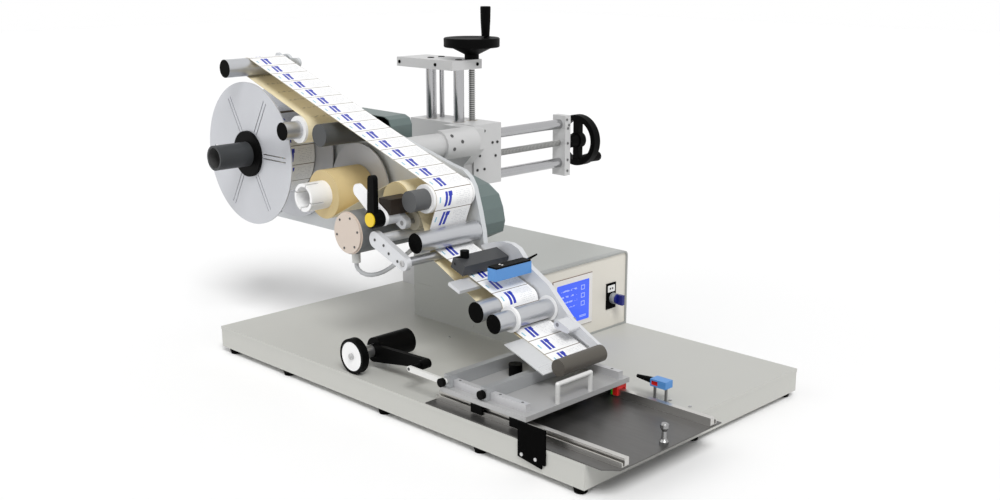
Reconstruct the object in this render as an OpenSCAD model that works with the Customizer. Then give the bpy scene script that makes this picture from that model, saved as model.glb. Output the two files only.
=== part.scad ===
// Bottle labeling machine: base tray, sliding carriage, control box, column, cross slide and label head.

/* [Base tray] */
// Length of the tray along X
base_l = 1060; // [1040:5:1100]
// Width of the tray along Y
base_w = 650; // [650:5:700]
// Height of the tray side
base_h = 46; // [40:1:60]
// Height of the rubber feet
foot_h = 12; // [8:1:20]

/* [Carriage] */
// Length of the carriage plate along X
carriage_l = 216; // [212:1:222]
// Height of the two stop bars
bar_h = 24; // [20:1:24]
// Thickness of the stop bars
bar_t = 15.4; // [12:0.2:17]

/* [Control box] */
// Length of the control box along X
box_l = 386; // [340:2:388]
// Width of the control box along Y
box_w = 289; // [270:1:290]
// Height of the control box
box_h = 168; // [150:1:170]

/* [Column] */
// Height of the top of the column plate above the tray
column_h = 562; // [550:1:600]
// Radius of the column guide rods
rod_r = 12.5; // [10:0.1:13]
// Pitch of the height and cross screws
pitch = 5; // [4:0.5:6]
// Radius of the handwheels
wheel_r = 66; // [60:0.5:68]
// Length of the revolving handwheel grips
grip_l = 70; // [60:1:85]

/* [Cross slide] */
// Distance in Y of the end plate behind the slide block
cross_l = 236; // [226:1:260]
// Radius of the cross rods
cross_r = 12.2; // [10:0.1:12.4]

/* [Label head] */
// Width of the label web
web_w = 100; // [80:1:100]
// Radius of the full label roll
roll_r = 100; // [80:1:100]
// Radius of the unwinder side discs
disc_r = 165; // [150:1:165]
// Radius of the plain guide rollers
roller_r = 20.5; // [19:0.1:20.6]
// Thickness of the head plate
plate_t = 12; // [10:0.5:12]
// Thickness of the peel sheet
peel_t = 2; // [1.5:0.1:2.4]

/* [Hidden] */
$fn = 72;
// Clearances
gap = 0.3;
seat = 0.5;
run = 0.05;
run_wide = 0.08;
cut = 1;
// Sheet and web thickness
sheet_t = 3;
web_t = 0.4;
web_gap = 0.4;

// Tray details
lip_h = 7;
lip_in = 0.8;
cover_t = 2;
foot_r = 14;
foot_tip_r = 11;
foot_end_in = 20;
foot_edge_x = [33, 233, 543, 806, base_l - foot_end_in];
foot_mid_x = [33, base_l/2, base_l - foot_end_in];
foot_in = 15;
screw_r = 3.2;
screw_h = 1.6;
screw_end_in = [75, 30];
screw_row_y = 330;
deck_screws = [[468, 90], [742, screw_row_y], [base_l - screw_end_in[0], screw_row_y],
  [base_l - screw_end_in[1], screw_row_y], [420, 300]];

// Drawer plate and rails
drawer_x = 674;
drawer_over = 56;
drawer_y = 2;
drawer_w = 302;
drawer_t = 2;
drawer_cut = [23, 20];
rail_w = 18;
rail_h = 15;
rail_step_h = 9;
rail_in = 2;
rail_near = 28;
rail_far = 273;
rail_lip = 2.4;
rail_slot = 4.6;
rail_web = 2.4;

// Stop pin
pin_in = 16;
pin_at = [base_l + drawer_over - pin_in, 158];
pin_foot_r = 8;
pin_neck_r = 4.2;
pin_head_r = 7.4;
pin_h = 36;
pin_foot_h = 4;
pin_flare = [1, 8];
pin_head_z = [14, 8, 2];

// Side plate on the near face of the tray
side_in = [147, 84];
side_x = [for (v = side_in) base_l - v];
side_z = [-36, 35];
side_t = 3;
side_notch = [8, 8];
side_screw_in = [137, 105];
side_screw_x = [for (v = side_screw_in) base_l - v];
side_screw_z = -22;

// Photocell
cell_in = [104, 69];
cell_x = [for (v = cell_in) base_l - v];
cell_y = [306, 328];
cell_z = [28, 42];
cell_post_in = [100.5, 75];
cell_post_x = [for (v = cell_post_in) base_l - v];
cell_post_y = 317;
cell_post_r = 2.8;
cell_foot_r = 6;
cell_foot_h = 2;
cell_win = [3, 17, 3, 11];
cell_stub_l = 38;
cell_stub_r = 6.5;
cell_stub_drop = 7;
cell_win_d = 1;
lead_share = 0.5;

// Control box
box_x = 240;
box_y = base_w - box_w;
box_frame = 14;
box_cover_t = 2;
box_r = 12;
panel_t = 3;
panel_in = 4;
seam_z = 78;
seam_l = 60;
seam_d = 0.6;
disp_in = [45, 170];
disp_y = [for (v = disp_in) box_y + v];
disp_z = [30, 140];
disp_t = 2.2;
sw_in = [219, 251];
sw_y = [for (v = sw_in) box_y + v];
sw_z = [45, 103];
sw_t = 2;
sw_shaft_in = 240;
sw_at = [box_y + sw_shaft_in, 68];
sw_collar_r = 12;
sw_collar_l = 12;
sw_knob_r = 11;
sw_knob_l = 18;
sw_shaft_r = 3;
sw_base_l = 5;
sw_bar_w = 4;
drive_box = [60, 180, 60, 230, 4, 96];
supply_box = [210, 330, 60, 160, 4, 70];
inlet_y = [70, 98];
inlet_z = [28, 56];
inlet_t = 6;
inlet_out = 2;
inlet_rim = [3, 4];

// Column
col_x = [7, 195];
col_in = [122, 26];
col_y = [for (v = col_in) base_w - v];
col_foot_h = 60;
top_t = 22;
rod_x = [81.5, 177.5];
rod_in = 37;
rod_y = col_y[0] + rod_in;
thin_in = 72;
thin_at = [81, col_y[0] + thin_in];
thin_r = 6;
screw_in = 79;
screw_at = [178.5, col_y[0] + screw_in];
screw_core_r = 6.6;
screw_thread_r = 8.4;
cap_r = 8;
cap_h = 1.5;
socket_z = 5;
rod_sunk = 6;
screw_foot_z = 6;
side_bolt_x = [10, 137];
side_bolt_drop = 11;
end_bolt_y = 81;
side_bolt_r = 4;

// Handwheels and grips
rim_h = 22;
rim_edge = 2;
hub_drop = 17;
web_drop = 9;
rim_w = 15;
wheel_hub_r = 33;
hub_neck_r = 17;
rim_over = 28;
height_rim_z = column_h + rim_over;
grip_r = 12.5;
grip_round = 3;
grip_end = 8;
grip_shares = [0.78, 0.94, 0.92];
wheel_bore_l = 60;
grip_pin_r = 4;
grip_at_r = 51.5;
grip_turn = 96;

// Slide block
block_x = [32, 252];
block_in = [13, 103];
block_y = [for (v = block_in) col_y[0] + v];
block_z = [275, 417];
bush_t = 3.5;
nut_r = 14;
block_bolt_r = 3.2;

// Cross slide
cross_x = 225;
cross_z = [289, 387];
cross_screw_z = 339;
cross_core_r = 6.2;
cross_thread_r = 7.9;
bracket_t = 28;
bracket_gap = 1;
bracket_y = [block_y[0] - bracket_gap - bracket_t, block_y[0] - bracket_gap];
bracket_pts = [[180, 416], [288, 416], [288, 368], [248, 328], [248, 266], [202, 266],
  [202, 344], [180, 366]];
tube_at = [270, 387];
tube_r = 28;
tube_in_r = 22;
collar_r = 34;
collar_l = 99;
collar_y0 = bracket_y[0] - collar_l;
collar_screw_in = 19;
collar_screw_step = 30;
collar_screw_r = 4;
collar_screw_d = 4;
collar_screw_lean = [-60, -72];
rod_seat = 4;
rod_end_in = 5;
screw_seat = 5;
end_x = [204, 246];
end_z = [257, 409];
end_t = 20;
end_bolt = [[6, 399], [14, 385], [10, 269], [10, 377], [10, 297], [10, 339]];
cross_wheel_gap = 43;
cross_rim_less = 1;
cross_hub_over = 3;
cross_hub_less = 2;
spoke_w = 18;
spoke_in = 2;
spoke_less = 5;
cross_pin_in = 1;

// Label head planes along Y
plate_y = 300;
web_y = 185;
flange_y = 172;
flange_t = 3;
near_y = 135;

// Head plate outline and roller centres in X and Z
plate_pts = [[-196, 173], [28, 173], [130, 190], [300, 197], [470, 200], [560, 204], [560, 232],
  [527, 226], [524, 250], [513, 294], [498, 340], [486, 358], [466, 371], [428, 379], [84, 468],
  [-50, 503], [-92, 506], [-170, 490], [-196, 452]];
unwind_at = [-115, 353.5];
dancer_at = [-125, 551];
dancer_pivot = [-154, 445.3];
dancer_arm_y = [292, 299];
dancer_arm_r = [24, 16];
dancer_ear = [[42, 6], [-32, 16]];
dancer_ear_r = [[14, 11], [12, 9]];
dancer_pin_y = 133;
idler_at = [69, 427];
bar_c_at = [164, 425];
rewind_at = [146, 292];
feed_at = [482, 330];
silver_at = [505, 251];
small_at = [503, 216];
nip_at = [446, 280];
drive_at = [393, 311];
motor_at = [333, 249];
low1_at = [672, 145];
low2_at = [718, 131.8];
tip_at = [844, 64];
peel_angle = -20.6;
peel_l = 103;
apply_at = [861, 76];
apply_pivot = [775, 118];
apply_arm_y = [279, 287];
apply_arm_r = [11, 8];
apply_axle_y = 160;
apply_ear = [24, -6];
apply_ear_r = [9, 6];
apply_roll_y = [157, 277];
lever_at = [424, 293];

// Roller radii
idler_tube_r = 20;
sleeve_r = 30;
feed_tube_r = 21.5;
feed_sleeve_r = 29.2;
bar_c_r = 24.5;
small_r = 9;
nip_r = 19.4;
drive_r = 40.8;
low2_r = 19;
collar2_r = 25.2;
apply_r = 16;
axle_r = 5;
small_pin_r = 3;
apply_pin_r = 4;
idler_pin_y = 145;
feed_pin_y = 147;
silver_pin_y = 141;
low_pin_y = [143, 144];
arm_pin_y = 291;
apply_pin_y = 250;
big_axle_y = 190;
bearing_y = [196, 276];
spindle_far = 290;
back_disc_y = 287;
bore_r = 5.08;
dancer_y = [125, 290];
idler_y = [137, 179, 291];
feed_y = [139, 179, 291];
bar_c_y = 165;
silver_y = [133, 297];
small_y = [113, 290];
nip_y = [180.4, 292];
drive_y = [181, 293];
low_far = 287;
collar_y = [136, 178, 184];
cap_t = 3;

// Unwinder and rewinder
spindle_r = 28.5;
spindle_in_r = 23.5;
spindle_y = 78;
hub_ring_r = 53;
hub_ring_t = 7;
slot_n = 6;
slot_from = 30;
slot_r0 = 56;
slot_r1 = 143;
slot_w = 2.6;
slot_step = 5;
liner_r = 54;
rewind_r = 31;
rewind_in_r = 24;
rewind_y = 130;
rewind_disc_r = 101;
rewind_slot_w = 4;
rewind_slot_l = 34;
rewind_slot_turn = 20;
rewind_slot_over = 2;
axle_big_r = 10;
bearing_w = 10;

// Motor, gland and cable
motor_r = 44.5;
motor_cap_r = 42;
motor_y = 100;
motor_cap_t = 5;
gland_at = [333, 122];
gland_r = 9;
gland_z = [184, 206];
gland_tip = 2.5;
cable_r = 4.5;

// Clamp lever, brackets and blocks
lever_y = 85;
lever_hub_r = 17.5;
lever_cap_r = 14;
lever_cap_t = 3;
lever_up = 80;
lever_w = 9;
lever_root = 2;
lever_lean = 2;
lever_arm_d = 15;
lever_pin_in = [4, 5];
clamp_link_r = [14, 12.5];
front_bar_over = 4;
low_arm_less = 2;
arm_y = [100, 112];
front_bar_y = [113, 121];
front_bar_tip = [354, 339];
front_bar_r = 13.5;
low_arm_r = 17;
low_arm_from = [421, 250];
guide_block = [410, 446, 300, 331, 122, 180];
spacer_r = 10;
clamp_r = 16;
clamp_y = [150, 164];

// Rear covers
cover_d = 60;
cover_rear_t = 2;
cover1_pts = [[12, 320], [228, 320], [229, 436], [222, 450], [206, 456], [60, 458], [12, 440]];
cover2_pts = [[322, 204], [322, 346], [424, 346], [470, 334], [500, 316], [512, 290], [518, 262],
  [512, 238], [456, 212]];

// Peel arm, sensor and lower parts
peel_arm_y = [288, 300];
peel_arm_pts = [[530, 206], [532, 226], [560, 236], [593, 243], [616, 243], [636, 236], [666, 205],
  [715, 178], [767, 128], [801, 98], [822, 78], [814, 70], [772, 90], [740, 100], [700, 106],
  [660, 112], [636, 128],
  [620, 156], [590, 186]];
sensor_mid = [592, 214];
sensor_size = [36, 22];
sensor_y = [165, 285];
sensor_step = 12;
sensor_nose_at = [8, -2];
sensor_nose = [16, 12];
sensor_hole_at = [-8, 4];
sensor_hole_r = 3;
sensor_hole_d = 2;
sensor_knob_lift = 13.2;
sensor_knob_at = [585, 190];
sensor_knob_r = 9;
sensor_knob_h = 14;
bed_mid = [612, 181];
bed_size = [33, 7];
blue_mid = [661, 206];
blue_size = [22, 24];
blue_y = [188, 284];
blue_lead_y = 276;
blue_lead_l = 40;
blue_lead_r = 3.5;
blue_lead_sink = 2;
blue_lead_tilt = -78;

// Encoder
wheel_at = [452, 35.7];
tyre_r = 35.4;
disc_enc_r = 29.25;
enc_y = 8;
enc_w = 16;
enc_hub_r = 12.5;
enc_body_r = 25;
enc_body_y = [68, 155];
enc_boss_r = 11;
enc_boss_l = 10;
enc_plate_y = [58, 68];
enc_arm_at = [611, 47];
enc_arm_r = 5.6;
enc_arm_y = [18, 23.7];
enc_pin_r = 5;
enc_knob_r = 9.4;
enc_knob_l = 12;
enc_hole_r = 2.4;
enc_plate_at = [6, -4];
enc_plate_r = [18, 9];
enc_bore_d = 24;
enc_shaft_in = 22;
enc_disc_in = 1;

// Carriage details
car_x = 696;
car_y = [19, 300.5];
car_z = 25.5;
car_t = 9.5;
bar1_x = 702;
bar2_x = 796.3;
bar_y = [24, 295];
strip_y = [34, 277];
strip_w = 12;
strip_h = 14;
strip_near_x = 897;
strip_far_x = 905;
strip_x = 699;
knob_r = 8.2;
knob_l = 8;
knob_z = 46;
knob_shank_r = 3.4;
knob_in = [4, 6];
mid_knob = [754, 158];
mid_knob_r = 13;
mid_knob_h = 23;
bow_x = 906;
bow_y = [106, 194];
bow_h = 39.5;
bow_r = 4.5;
runner_x = [771, 799];
runner_x2 = [867, 895];
runner_side = 4;
runner_z = 5;
buffer_x = [875, 883, 909];

// Positions of the carriage top and of the column parts
car_top = car_z + car_t;
block_top = block_z[1];
end_y = block_y[1] + cross_l;
web_far = web_y + web_w;
plate_far = plate_y + plate_t;

// Shared shapes, all drawn from the left near corner of the tray top
module deck() translate([-base_l/2, -base_w/2, foot_h + base_h]) children();
module slab(x, y, z) translate([x[0], y[0], z[0]]) cube([x[1] - x[0], y[1] - y[0], z[1] - z[0]]);
module along(y0, y1) translate([0, y1, 0]) rotate([90, 0, 0]) linear_extrude(y1 - y0) children();
module bar(p, r, y0, y1) translate([p[0], y1, p[1]]) rotate([90, 0, 0]) cylinder(h = y1 - y0, r = r);
module tube(p, ro, ri, y0, y1) difference() {
  bar(p, ro, y0, y1);
  bar(p, ri, y0 - cut, y1 + cut);
}
module post(p, r, z0, z1) translate([p[0], p[1], z0]) cylinder(h = z1 - z0, r = r);
module stick(y, z, r, x0, x1) translate([x0, y, z]) rotate([0, 90, 0]) cylinder(h = x1 - x0, r = r);
function unit(v) = v / norm(v);
module link(a, b, ra, rb) {
  u = unit(b - a);
  n = [-u[1], u[0]] * 0.99;
  translate(a) circle(r = ra);
  translate(b) circle(r = rb);
  polygon([a + n*ra, a - n*ra, b - n*rb, b + n*rb]);
}
module tilt(p, a, size) translate(p) rotate(a) translate(-size/2) square(size);

// Path of the web over the rollers, as circles with a turning sense
function cc(p, r, s) = [p[0], p[1], r, s];
function head(a, b) = atan2(b[1] - a[1], b[0] - a[0])
  - asin((b[3]*b[2] - a[3]*a[2]) / norm([b[0] - a[0], b[1] - a[1]]));
function turned(from, to, s) = from + s * ((((to - from) * s) % 360 + 360) % 360);
function spot(c, t, off) = [c[0] + (c[3]*c[2] + off)*sin(t), c[1] - (c[3]*c[2] + off)*cos(t)];
function arc_pts(c, t0, t1, off, n) = [for (i = [0:n]) spot(c, t0 + (t1 - t0)*i/n, off)];
function path_side(list, off, n) = [for (i = [1:len(list) - 2])
  let (t0 = head(list[i - 1], list[i]), t1 = turned(t0, head(list[i], list[i + 1]), list[i][3]))
  each arc_pts(list[i], t0, t1, off, n)];
function ends(list, off) = let (n = len(list) - 1) [
  spot(list[0], head(list[0], list[1]), off), spot(list[n], head(list[n - 1], list[n]), off)];
module ribbon(list, n, lead_in) {
  a = path_side(list, web_t/2, n);
  b = path_side(list, -web_t/2, n);
  ea = ends(list, web_t/2);
  eb = ends(list, -web_t/2);
  polygon(concat(lead_in ? [ea[0]] : [], a, [ea[1], eb[1]], [for (i = [len(b) - 1:-1:0]) b[i]],
    lead_in ? [eb[0]] : []));
}
ride = web_gap + web_t/2;
label_path = [cc(unwind_at, roll_r + ride, -1), cc(idler_at, sleeve_r + ride, 1),
  cc(dancer_at, roller_r + ride, -1), cc(feed_at, feed_sleeve_r + ride, -1),
  cc(silver_at, roller_r + ride, 1), cc(low1_at, roller_r + ride, -1),
  cc(low2_at, low2_r + ride, 1), cc(tip_at, peel_t/2 + ride, -1)];
liner_path = [cc(low2_at, low2_r + ride, 1), cc(tip_at, peel_t/2 + ride, -1),
  cc(low1_at, roller_r + ride, -1),
  cc(small_at, small_r + ride, -1), cc(nip_at, nip_r + ride, 1), cc(drive_at, drive_r + ride, 1),
  cc(rewind_at, liner_r + ride, -1)];

module thread(core, outer, len, step) rotate_extrude() polygon(concat([[0, 0]],
  [for (i = [0:floor(len/step) - 1]) each [[core, i*step], [core, i*step + step*0.3],
    [outer, i*step + step*0.45], [outer, i*step + step*0.7], [core, i*step + step*0.85]]],
  [[core, len], [0, len]]));
module wheel_body() difference() {
  rotate_extrude() polygon([[0, gap - rim_over], [hub_neck_r, gap - rim_over],
    [hub_neck_r, -hub_drop], [wheel_hub_r, -web_drop], [wheel_r - rim_w, 0], [wheel_r - rim_edge, 0],
    [wheel_r, rim_edge], [wheel_r, rim_h - rim_edge], [wheel_r - rim_edge, rim_h],
    [wheel_r - rim_w, rim_h - rim_edge], [wheel_hub_r, rim_h - 2*rim_edge], [0, rim_h - 2*rim_edge]]);
  children();
}
module grip_body() difference() {
  rotate_extrude() polygon([[0, 0], [grip_r*grip_shares[0], 0], [grip_r*grip_shares[0], grip_round],
    [grip_r*grip_shares[1], grip_l/2], [grip_r, grip_l - grip_round],
    [grip_r*grip_shares[2], grip_l], [0, grip_l]]);
  translate([0, 0, -cut]) cylinder(h = grip_l - grip_end, r = grip_pin_r + run);
}
grip_xy = [grip_at_r*cos(grip_turn), grip_at_r*sin(grip_turn)];

// Base
module base_tray_main() color("#cfcfc6") deck() difference() {
  union() {
    slab([0, base_l], [0, base_w], [-lip_h, 0]);
    slab([lip_in, base_l - lip_in], [lip_in, base_w - lip_in], [-base_h, -lip_h]);
  }
  slab([sheet_t, base_l - sheet_t], [sheet_t, base_w - sheet_t], [-base_h - cut, -sheet_t]);
}
module bottom_cover() color("#9a9a94") deck()
  slab([sheet_t, base_l - sheet_t], [sheet_t, base_w - sheet_t], [-base_h, -base_h + cover_t]);
module foot(x, y) translate([x, y, -base_h - foot_h]) cylinder(h = foot_h, r1 = foot_tip_r, r2 = foot_r);
module rubber_feet() color("#151515") deck() {
  for (x = foot_edge_x) for (y = [foot_in, base_w - foot_in]) foot(x, y);
  for (x = foot_mid_x) foot(x, base_w/2);
}
drawer_end = base_l + drawer_over;
module drawer_plate() color("#5c5a58") deck() linear_extrude(drawer_t) polygon([[drawer_x, drawer_y],
  [drawer_end - drawer_cut[0], drawer_y], [drawer_end, drawer_y + drawer_cut[1]],
  [drawer_end, drawer_y + drawer_w], [drawer_x, drawer_y + drawer_w]]);
module rail(y) {
  translate([drawer_x + rail_in, y, drawer_t]) rotate([90, 0, 90])
    linear_extrude(drawer_end - drawer_x - 2*rail_in) polygon([[0, 0], [rail_w, 0], [rail_w, rail_h],
      [rail_lip + rail_slot, rail_h], [rail_lip + rail_slot, rail_web], [rail_lip, rail_web],
      [rail_lip, rail_step_h], [0, rail_step_h]]);
}
module near_rail() color("#b8b6b2") deck() rail(rail_near);
module far_rail() color("#b8b6b2") deck() translate([0, rail_far + rail_w, 0]) mirror([0, 1, 0]) rail(0);
module stop_pin() color("#d0d0d0") deck() translate([pin_at[0], pin_at[1], drawer_t]) rotate_extrude()
  polygon([[0, 0], [pin_foot_r, 0], [pin_foot_r, pin_foot_h], [pin_neck_r + pin_flare[0], pin_flare[1]],
    [pin_neck_r, pin_h - pin_head_z[0]], [pin_head_r, pin_h - pin_head_z[1]],
    [pin_head_r, pin_h - pin_head_z[2]],
    [pin_head_r - pin_head_z[2], pin_h], [0, pin_h]]);
module side_plate() color("#101010") deck() along(-side_t, 0) polygon([[side_x[0], side_z[1]],
  [side_x[0], side_z[0] + side_notch[1]], [side_x[1] - side_notch[0], side_z[0]], [side_x[1] - side_notch[0],
  side_z[0] + side_notch[1]], [side_x[1], side_z[0] + side_notch[1]], [side_x[1], side_z[1]]]);
module base_screws() color("#c8c8c8") deck() {
  for (x = side_screw_x) bar([x, side_screw_z], screw_r, -side_t - screw_h, -side_t);
  for (p = deck_screws) post(p, screw_r, 0, screw_h);
}

// Photocell on two posts
module photocell_posts() color("#8a8a8a") deck() for (x = cell_post_x) {
  post([x, cell_post_y], cell_post_r, 0, cell_z[0]);
  difference() {
    post([x, cell_post_y], cell_foot_r, 0, cell_foot_h);
    post([x, cell_post_y], cell_post_r, -cut, cell_foot_h + cut);
  }
}
module photocell_main() color("#3f86c8") deck() difference() {
  slab(cell_x, cell_y, cell_z);
  slab([cell_x[0] + cell_win[0], cell_x[0] + cell_win[1]], [cell_y[0] - cut, cell_y[0] + cell_win_d],
    [cell_z[0] + cell_win[2], cell_z[0] + cell_win[3]]);
}
module lead(l, r) cylinder(h = l, r1 = r, r2 = r*lead_share);
module photocell_lead() color("#111111") deck()
  translate([cell_x[0], cell_post_y, cell_z[1] - cell_stub_drop])
  rotate([0, -90, 0]) lead(cell_stub_l, cell_stub_r);

// Control box
box_end = box_x + box_l;
module shell2d(y, z, r) {
  translate([y[0], z[0]]) square([y[1] - y[0], z[1] - z[0] - r]);
  translate([y[0] + r, z[0]]) square([y[1] - y[0] - 2*r, z[1] - z[0]]);
  translate([y[0] + r, z[1] - r]) circle(r = r);
  translate([y[1] - r, z[1] - r]) circle(r = r);
}
module across(x0, x1) translate([x0, 0, 0]) rotate([90, 0, 90]) linear_extrude(x1 - x0) children();
module box_cover() color("#a9aca8") deck() difference() {
  across(box_x, box_end - box_frame) shell2d([box_y, base_w], [0, box_h], box_r);
  across(box_x + box_cover_t, box_end) shell2d([box_y + box_cover_t, base_w - box_cover_t],
    [-cut, box_h - box_cover_t], box_r - box_cover_t);
  slab([box_x - cut, box_x + seam_l], [box_y - cut, box_y + seam_d], [seam_z, seam_z + seam_d]);
  slab([box_x - cut, box_x + cut + box_cover_t], [box_y + inlet_y[0], box_y + inlet_y[1]], inlet_z);
}
module box_frame() color("#8f9490") deck() difference() {
  across(box_end - box_frame, box_end) shell2d([box_y, base_w], [0, box_h], box_r);
  across(box_end - box_frame - cut, box_end + cut) translate([0, panel_in])
    shell2d([box_y + panel_in, base_w - panel_in], [0, box_h - 2*panel_in], box_r - panel_in);
}
module front_panel() color("#e6e0cc") deck() difference() {
  across(box_end - 2*panel_t, box_end - panel_t) translate([0, panel_in])
    shell2d([box_y + panel_in, base_w - panel_in], [0, box_h - 2*panel_in], box_r - panel_in);
  stick(sw_at[0], sw_at[1], sw_shaft_r + run, box_end - 3*panel_t, box_end);
}
panel_x = box_end - panel_t;
module display() color("#3355dd") deck() slab([panel_x, panel_x + disp_t], disp_y, disp_z);
module switch_plate() color("#181818") deck() difference() {
  union() {
    slab([panel_x, panel_x + sw_t], sw_y, sw_z);
    stick(sw_at[0], sw_at[1], sw_collar_r, panel_x + sw_t, panel_x + sw_t + sw_collar_l);
  }
  stick(sw_at[0], sw_at[1], sw_shaft_r + run, panel_x - cut, panel_x + sw_t + sw_collar_l + cut);
}
module drive_unit() color("#4c5560") deck() slab([box_x + drive_box[0], box_x + drive_box[1]],
  [box_y + drive_box[2], box_y + drive_box[3]], [0, drive_box[5]]);
module power_supply() color("#9aa2a0") deck() slab([box_x + supply_box[0], box_x + supply_box[1]],
  [box_y + supply_box[2], box_y + supply_box[3]], [0, supply_box[5]]);
module power_inlet() color("#141414") deck() difference() {
  slab([box_x - inlet_out, box_x + inlet_t], [box_y + inlet_y[0], box_y + inlet_y[1]], inlet_z);
  slab([box_x - inlet_out - cut, box_x + inlet_t - inlet_out],
    [box_y + inlet_y[0] + inlet_rim[0], box_y + inlet_y[1] - inlet_rim[0]],
    [inlet_z[0] + inlet_rim[1], inlet_z[1] - inlet_rim[1]]);
}
sw_face = panel_x + sw_t + sw_collar_l + gap;
module switch_knob() color("#1f3a8c") deck() {
  stick(sw_at[0], sw_at[1], sw_shaft_r, panel_x - panel_t, sw_face);
  stick(sw_at[0], sw_at[1], sw_knob_r, sw_face, sw_face + sw_base_l);
  slab([sw_face + sw_base_l, sw_face + sw_knob_l], [sw_at[0] - sw_bar_w, sw_at[0] + sw_bar_w],
    [sw_at[1] - sw_knob_r, sw_at[1] + sw_knob_r]);
}

// Column
top_z = column_h - top_t;
module column_foot() color("#c9c9c6") deck() difference() {
  slab(col_x, col_y, [0, col_foot_h]);
  for (x = rod_x) post([x, rod_y], rod_r, socket_z, col_foot_h + cut);
  post(thin_at, thin_r, socket_z, col_foot_h + cut);
  post(screw_at, screw_core_r + run, socket_z, col_foot_h + cut);
}
module guide_rods() color("#d6d6d6") deck() for (x = rod_x)
  post([x, rod_y], rod_r, socket_z, column_h - rod_sunk);
module steady_rod() color("#d6d6d6") deck() post(thin_at, thin_r, socket_z, column_h - rod_sunk);
module top_plate() color("#d2d2d0") deck() difference() {
  slab([0, col_x[1]], col_y, [top_z, column_h]);
  for (x = rod_x) post([x, rod_y], rod_r, top_z - cut, column_h - rod_sunk);
  post(thin_at, thin_r, top_z - cut, column_h - rod_sunk);
  post(screw_at, screw_core_r + run, top_z - cut, column_h + cut);
}
module column_bolts() color("#2a2a2a") deck() {
  for (x = side_bolt_x) bar([x, column_h - side_bolt_drop], side_bolt_r, col_y[0] - cap_h, col_y[0]);
  stick(col_y[0] + end_bolt_y, column_h - side_bolt_drop, side_bolt_r, col_x[1], col_x[1] + cap_h);
  for (x = rod_x) post([x, rod_y], cap_r, column_h, column_h + cap_h);
  post(thin_at, cap_r, column_h, column_h + cap_h);
}
thread_z0 = col_foot_h + gap;
module height_screw() color("#9c9c9c") deck() translate([screw_at[0], screw_at[1], 0]) {
  translate([0, 0, thread_z0]) thread(screw_core_r, screw_thread_r, top_z - gap - thread_z0, pitch);
  translate([0, 0, screw_foot_z]) cylinder(h = thread_z0 - screw_foot_z, r = screw_core_r);
  translate([0, 0, top_z - gap]) cylinder(h = height_rim_z - top_z, r = screw_core_r);
}
module height_wheel() color("#0c0c0c") deck() translate([screw_at[0], screw_at[1], height_rim_z]) {
  wheel_body() translate([0, 0, -wheel_bore_l]) cylinder(h = wheel_bore_l - gap, r = screw_core_r);
  translate([grip_xy[0], grip_xy[1], rim_h - rim_edge]) cylinder(h = grip_l - grip_end, r = grip_pin_r);
}
module height_grip() color("#0c0c0c") deck()
  translate([screw_at[0] + grip_xy[0], screw_at[1] + grip_xy[1], height_rim_z + rim_h + gap]) grip_body();

// Slide block
module block_bores(extra) {
  for (x = rod_x) post([x, rod_y], rod_r + extra, block_z[0] - cut, block_top + cut);
  for (z = cross_z) bar([cross_x, z], cross_r + extra, block_y[0] - cut, block_y[1] + cut);
}
module slide_block_main() color("#cfcfcd") deck() difference() {
  slab(block_x, block_y, block_z);
  block_bores(bush_t);
  post(thin_at, thin_r + gap, block_z[0] - cut, block_top + cut);
  post(screw_at, nut_r, block_z[0] - cut, block_top + cut);
  bar([cross_x, cross_screw_z], nut_r, block_y[0] - cut, block_y[1] + cut);
}
module bush(r, l) difference() {
  cylinder(h = l, r = r + bush_t);
  translate([0, 0, -cut]) cylinder(h = l + 2*cut, r = r + run);
}
module block_bushes_main() color("#b08a4a") deck() {
  for (x = rod_x) translate([x, rod_y, block_z[0]]) bush(rod_r, block_top - block_z[0]);
  for (z = cross_z) translate([cross_x, block_y[1], z]) rotate([90, 0, 0])
    bush(cross_r, block_y[1] - block_y[0]);
}
module nut(h, r) difference() {
  cylinder(h = h, r = nut_r);
  translate([0, 0, -cut]) cylinder(h = h + 2*cut, r = r + gap);
}
module block_nuts() color("#b08a4a") deck() {
  translate([screw_at[0], screw_at[1], block_z[0]]) nut(block_top - block_z[0], screw_thread_r);
  translate([cross_x, block_y[1], cross_screw_z]) rotate([90, 0, 0])
    nut(block_y[1] - block_y[0], cross_thread_r);
}
block_bolt = [[11, 402], [34, 402], [11, 378], [61, 372], [77, 372], [19, 345], [71, 340], [11, 312],
  [34, 312], [11, 285]];
module block_bolts() color("#3a3a3a") deck() for (p = block_bolt)
  stick(block_y[0] + p[0], p[1], block_bolt_r, block_x[1], block_x[1] + cap_h);

// Cross slide
module cross_bracket() color("#d0d0ce") deck() difference() {
  union() {
    along(bracket_y[0], bracket_y[1]) polygon(bracket_pts);
    bar(tube_at, collar_r, collar_y0, bracket_y[0]);
  }
  bar(tube_at, tube_r + run, collar_y0 - cut, bracket_y[0]);
  for (z = cross_z) bar([cross_x, z], cross_r, bracket_y[0] + rod_seat, bracket_y[1] + cut);
  bar([cross_x, cross_screw_z], cross_core_r + run, bracket_y[0] + rod_seat, bracket_y[1] + cut);
  for (i = [0:2]) translate([tube_at[0], collar_y0 + collar_screw_in + collar_screw_step*i, tube_at[1]]) 
    rotate([0, collar_screw_lean[i % 2], 0]) translate([0, 0, collar_r - collar_screw_d])
      cylinder(h = 2*collar_screw_d, r = collar_screw_r);
}
module cross_rods_main() color("#d8d8d8") deck() for (z = cross_z)
  bar([cross_x, z], cross_r, bracket_y[0] + rod_seat, end_y + end_t - rod_end_in);
module end_plate() color("#cfcfcc") deck() difference() {
  slab(end_x, [end_y, end_y + end_t], end_z);
  for (z = cross_z) bar([cross_x, z], cross_r, end_y - cut, end_y + end_t - rod_end_in);
  bar([cross_x, cross_screw_z], cross_core_r + run, end_y - cut, end_y + end_t + cut);
}
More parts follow.
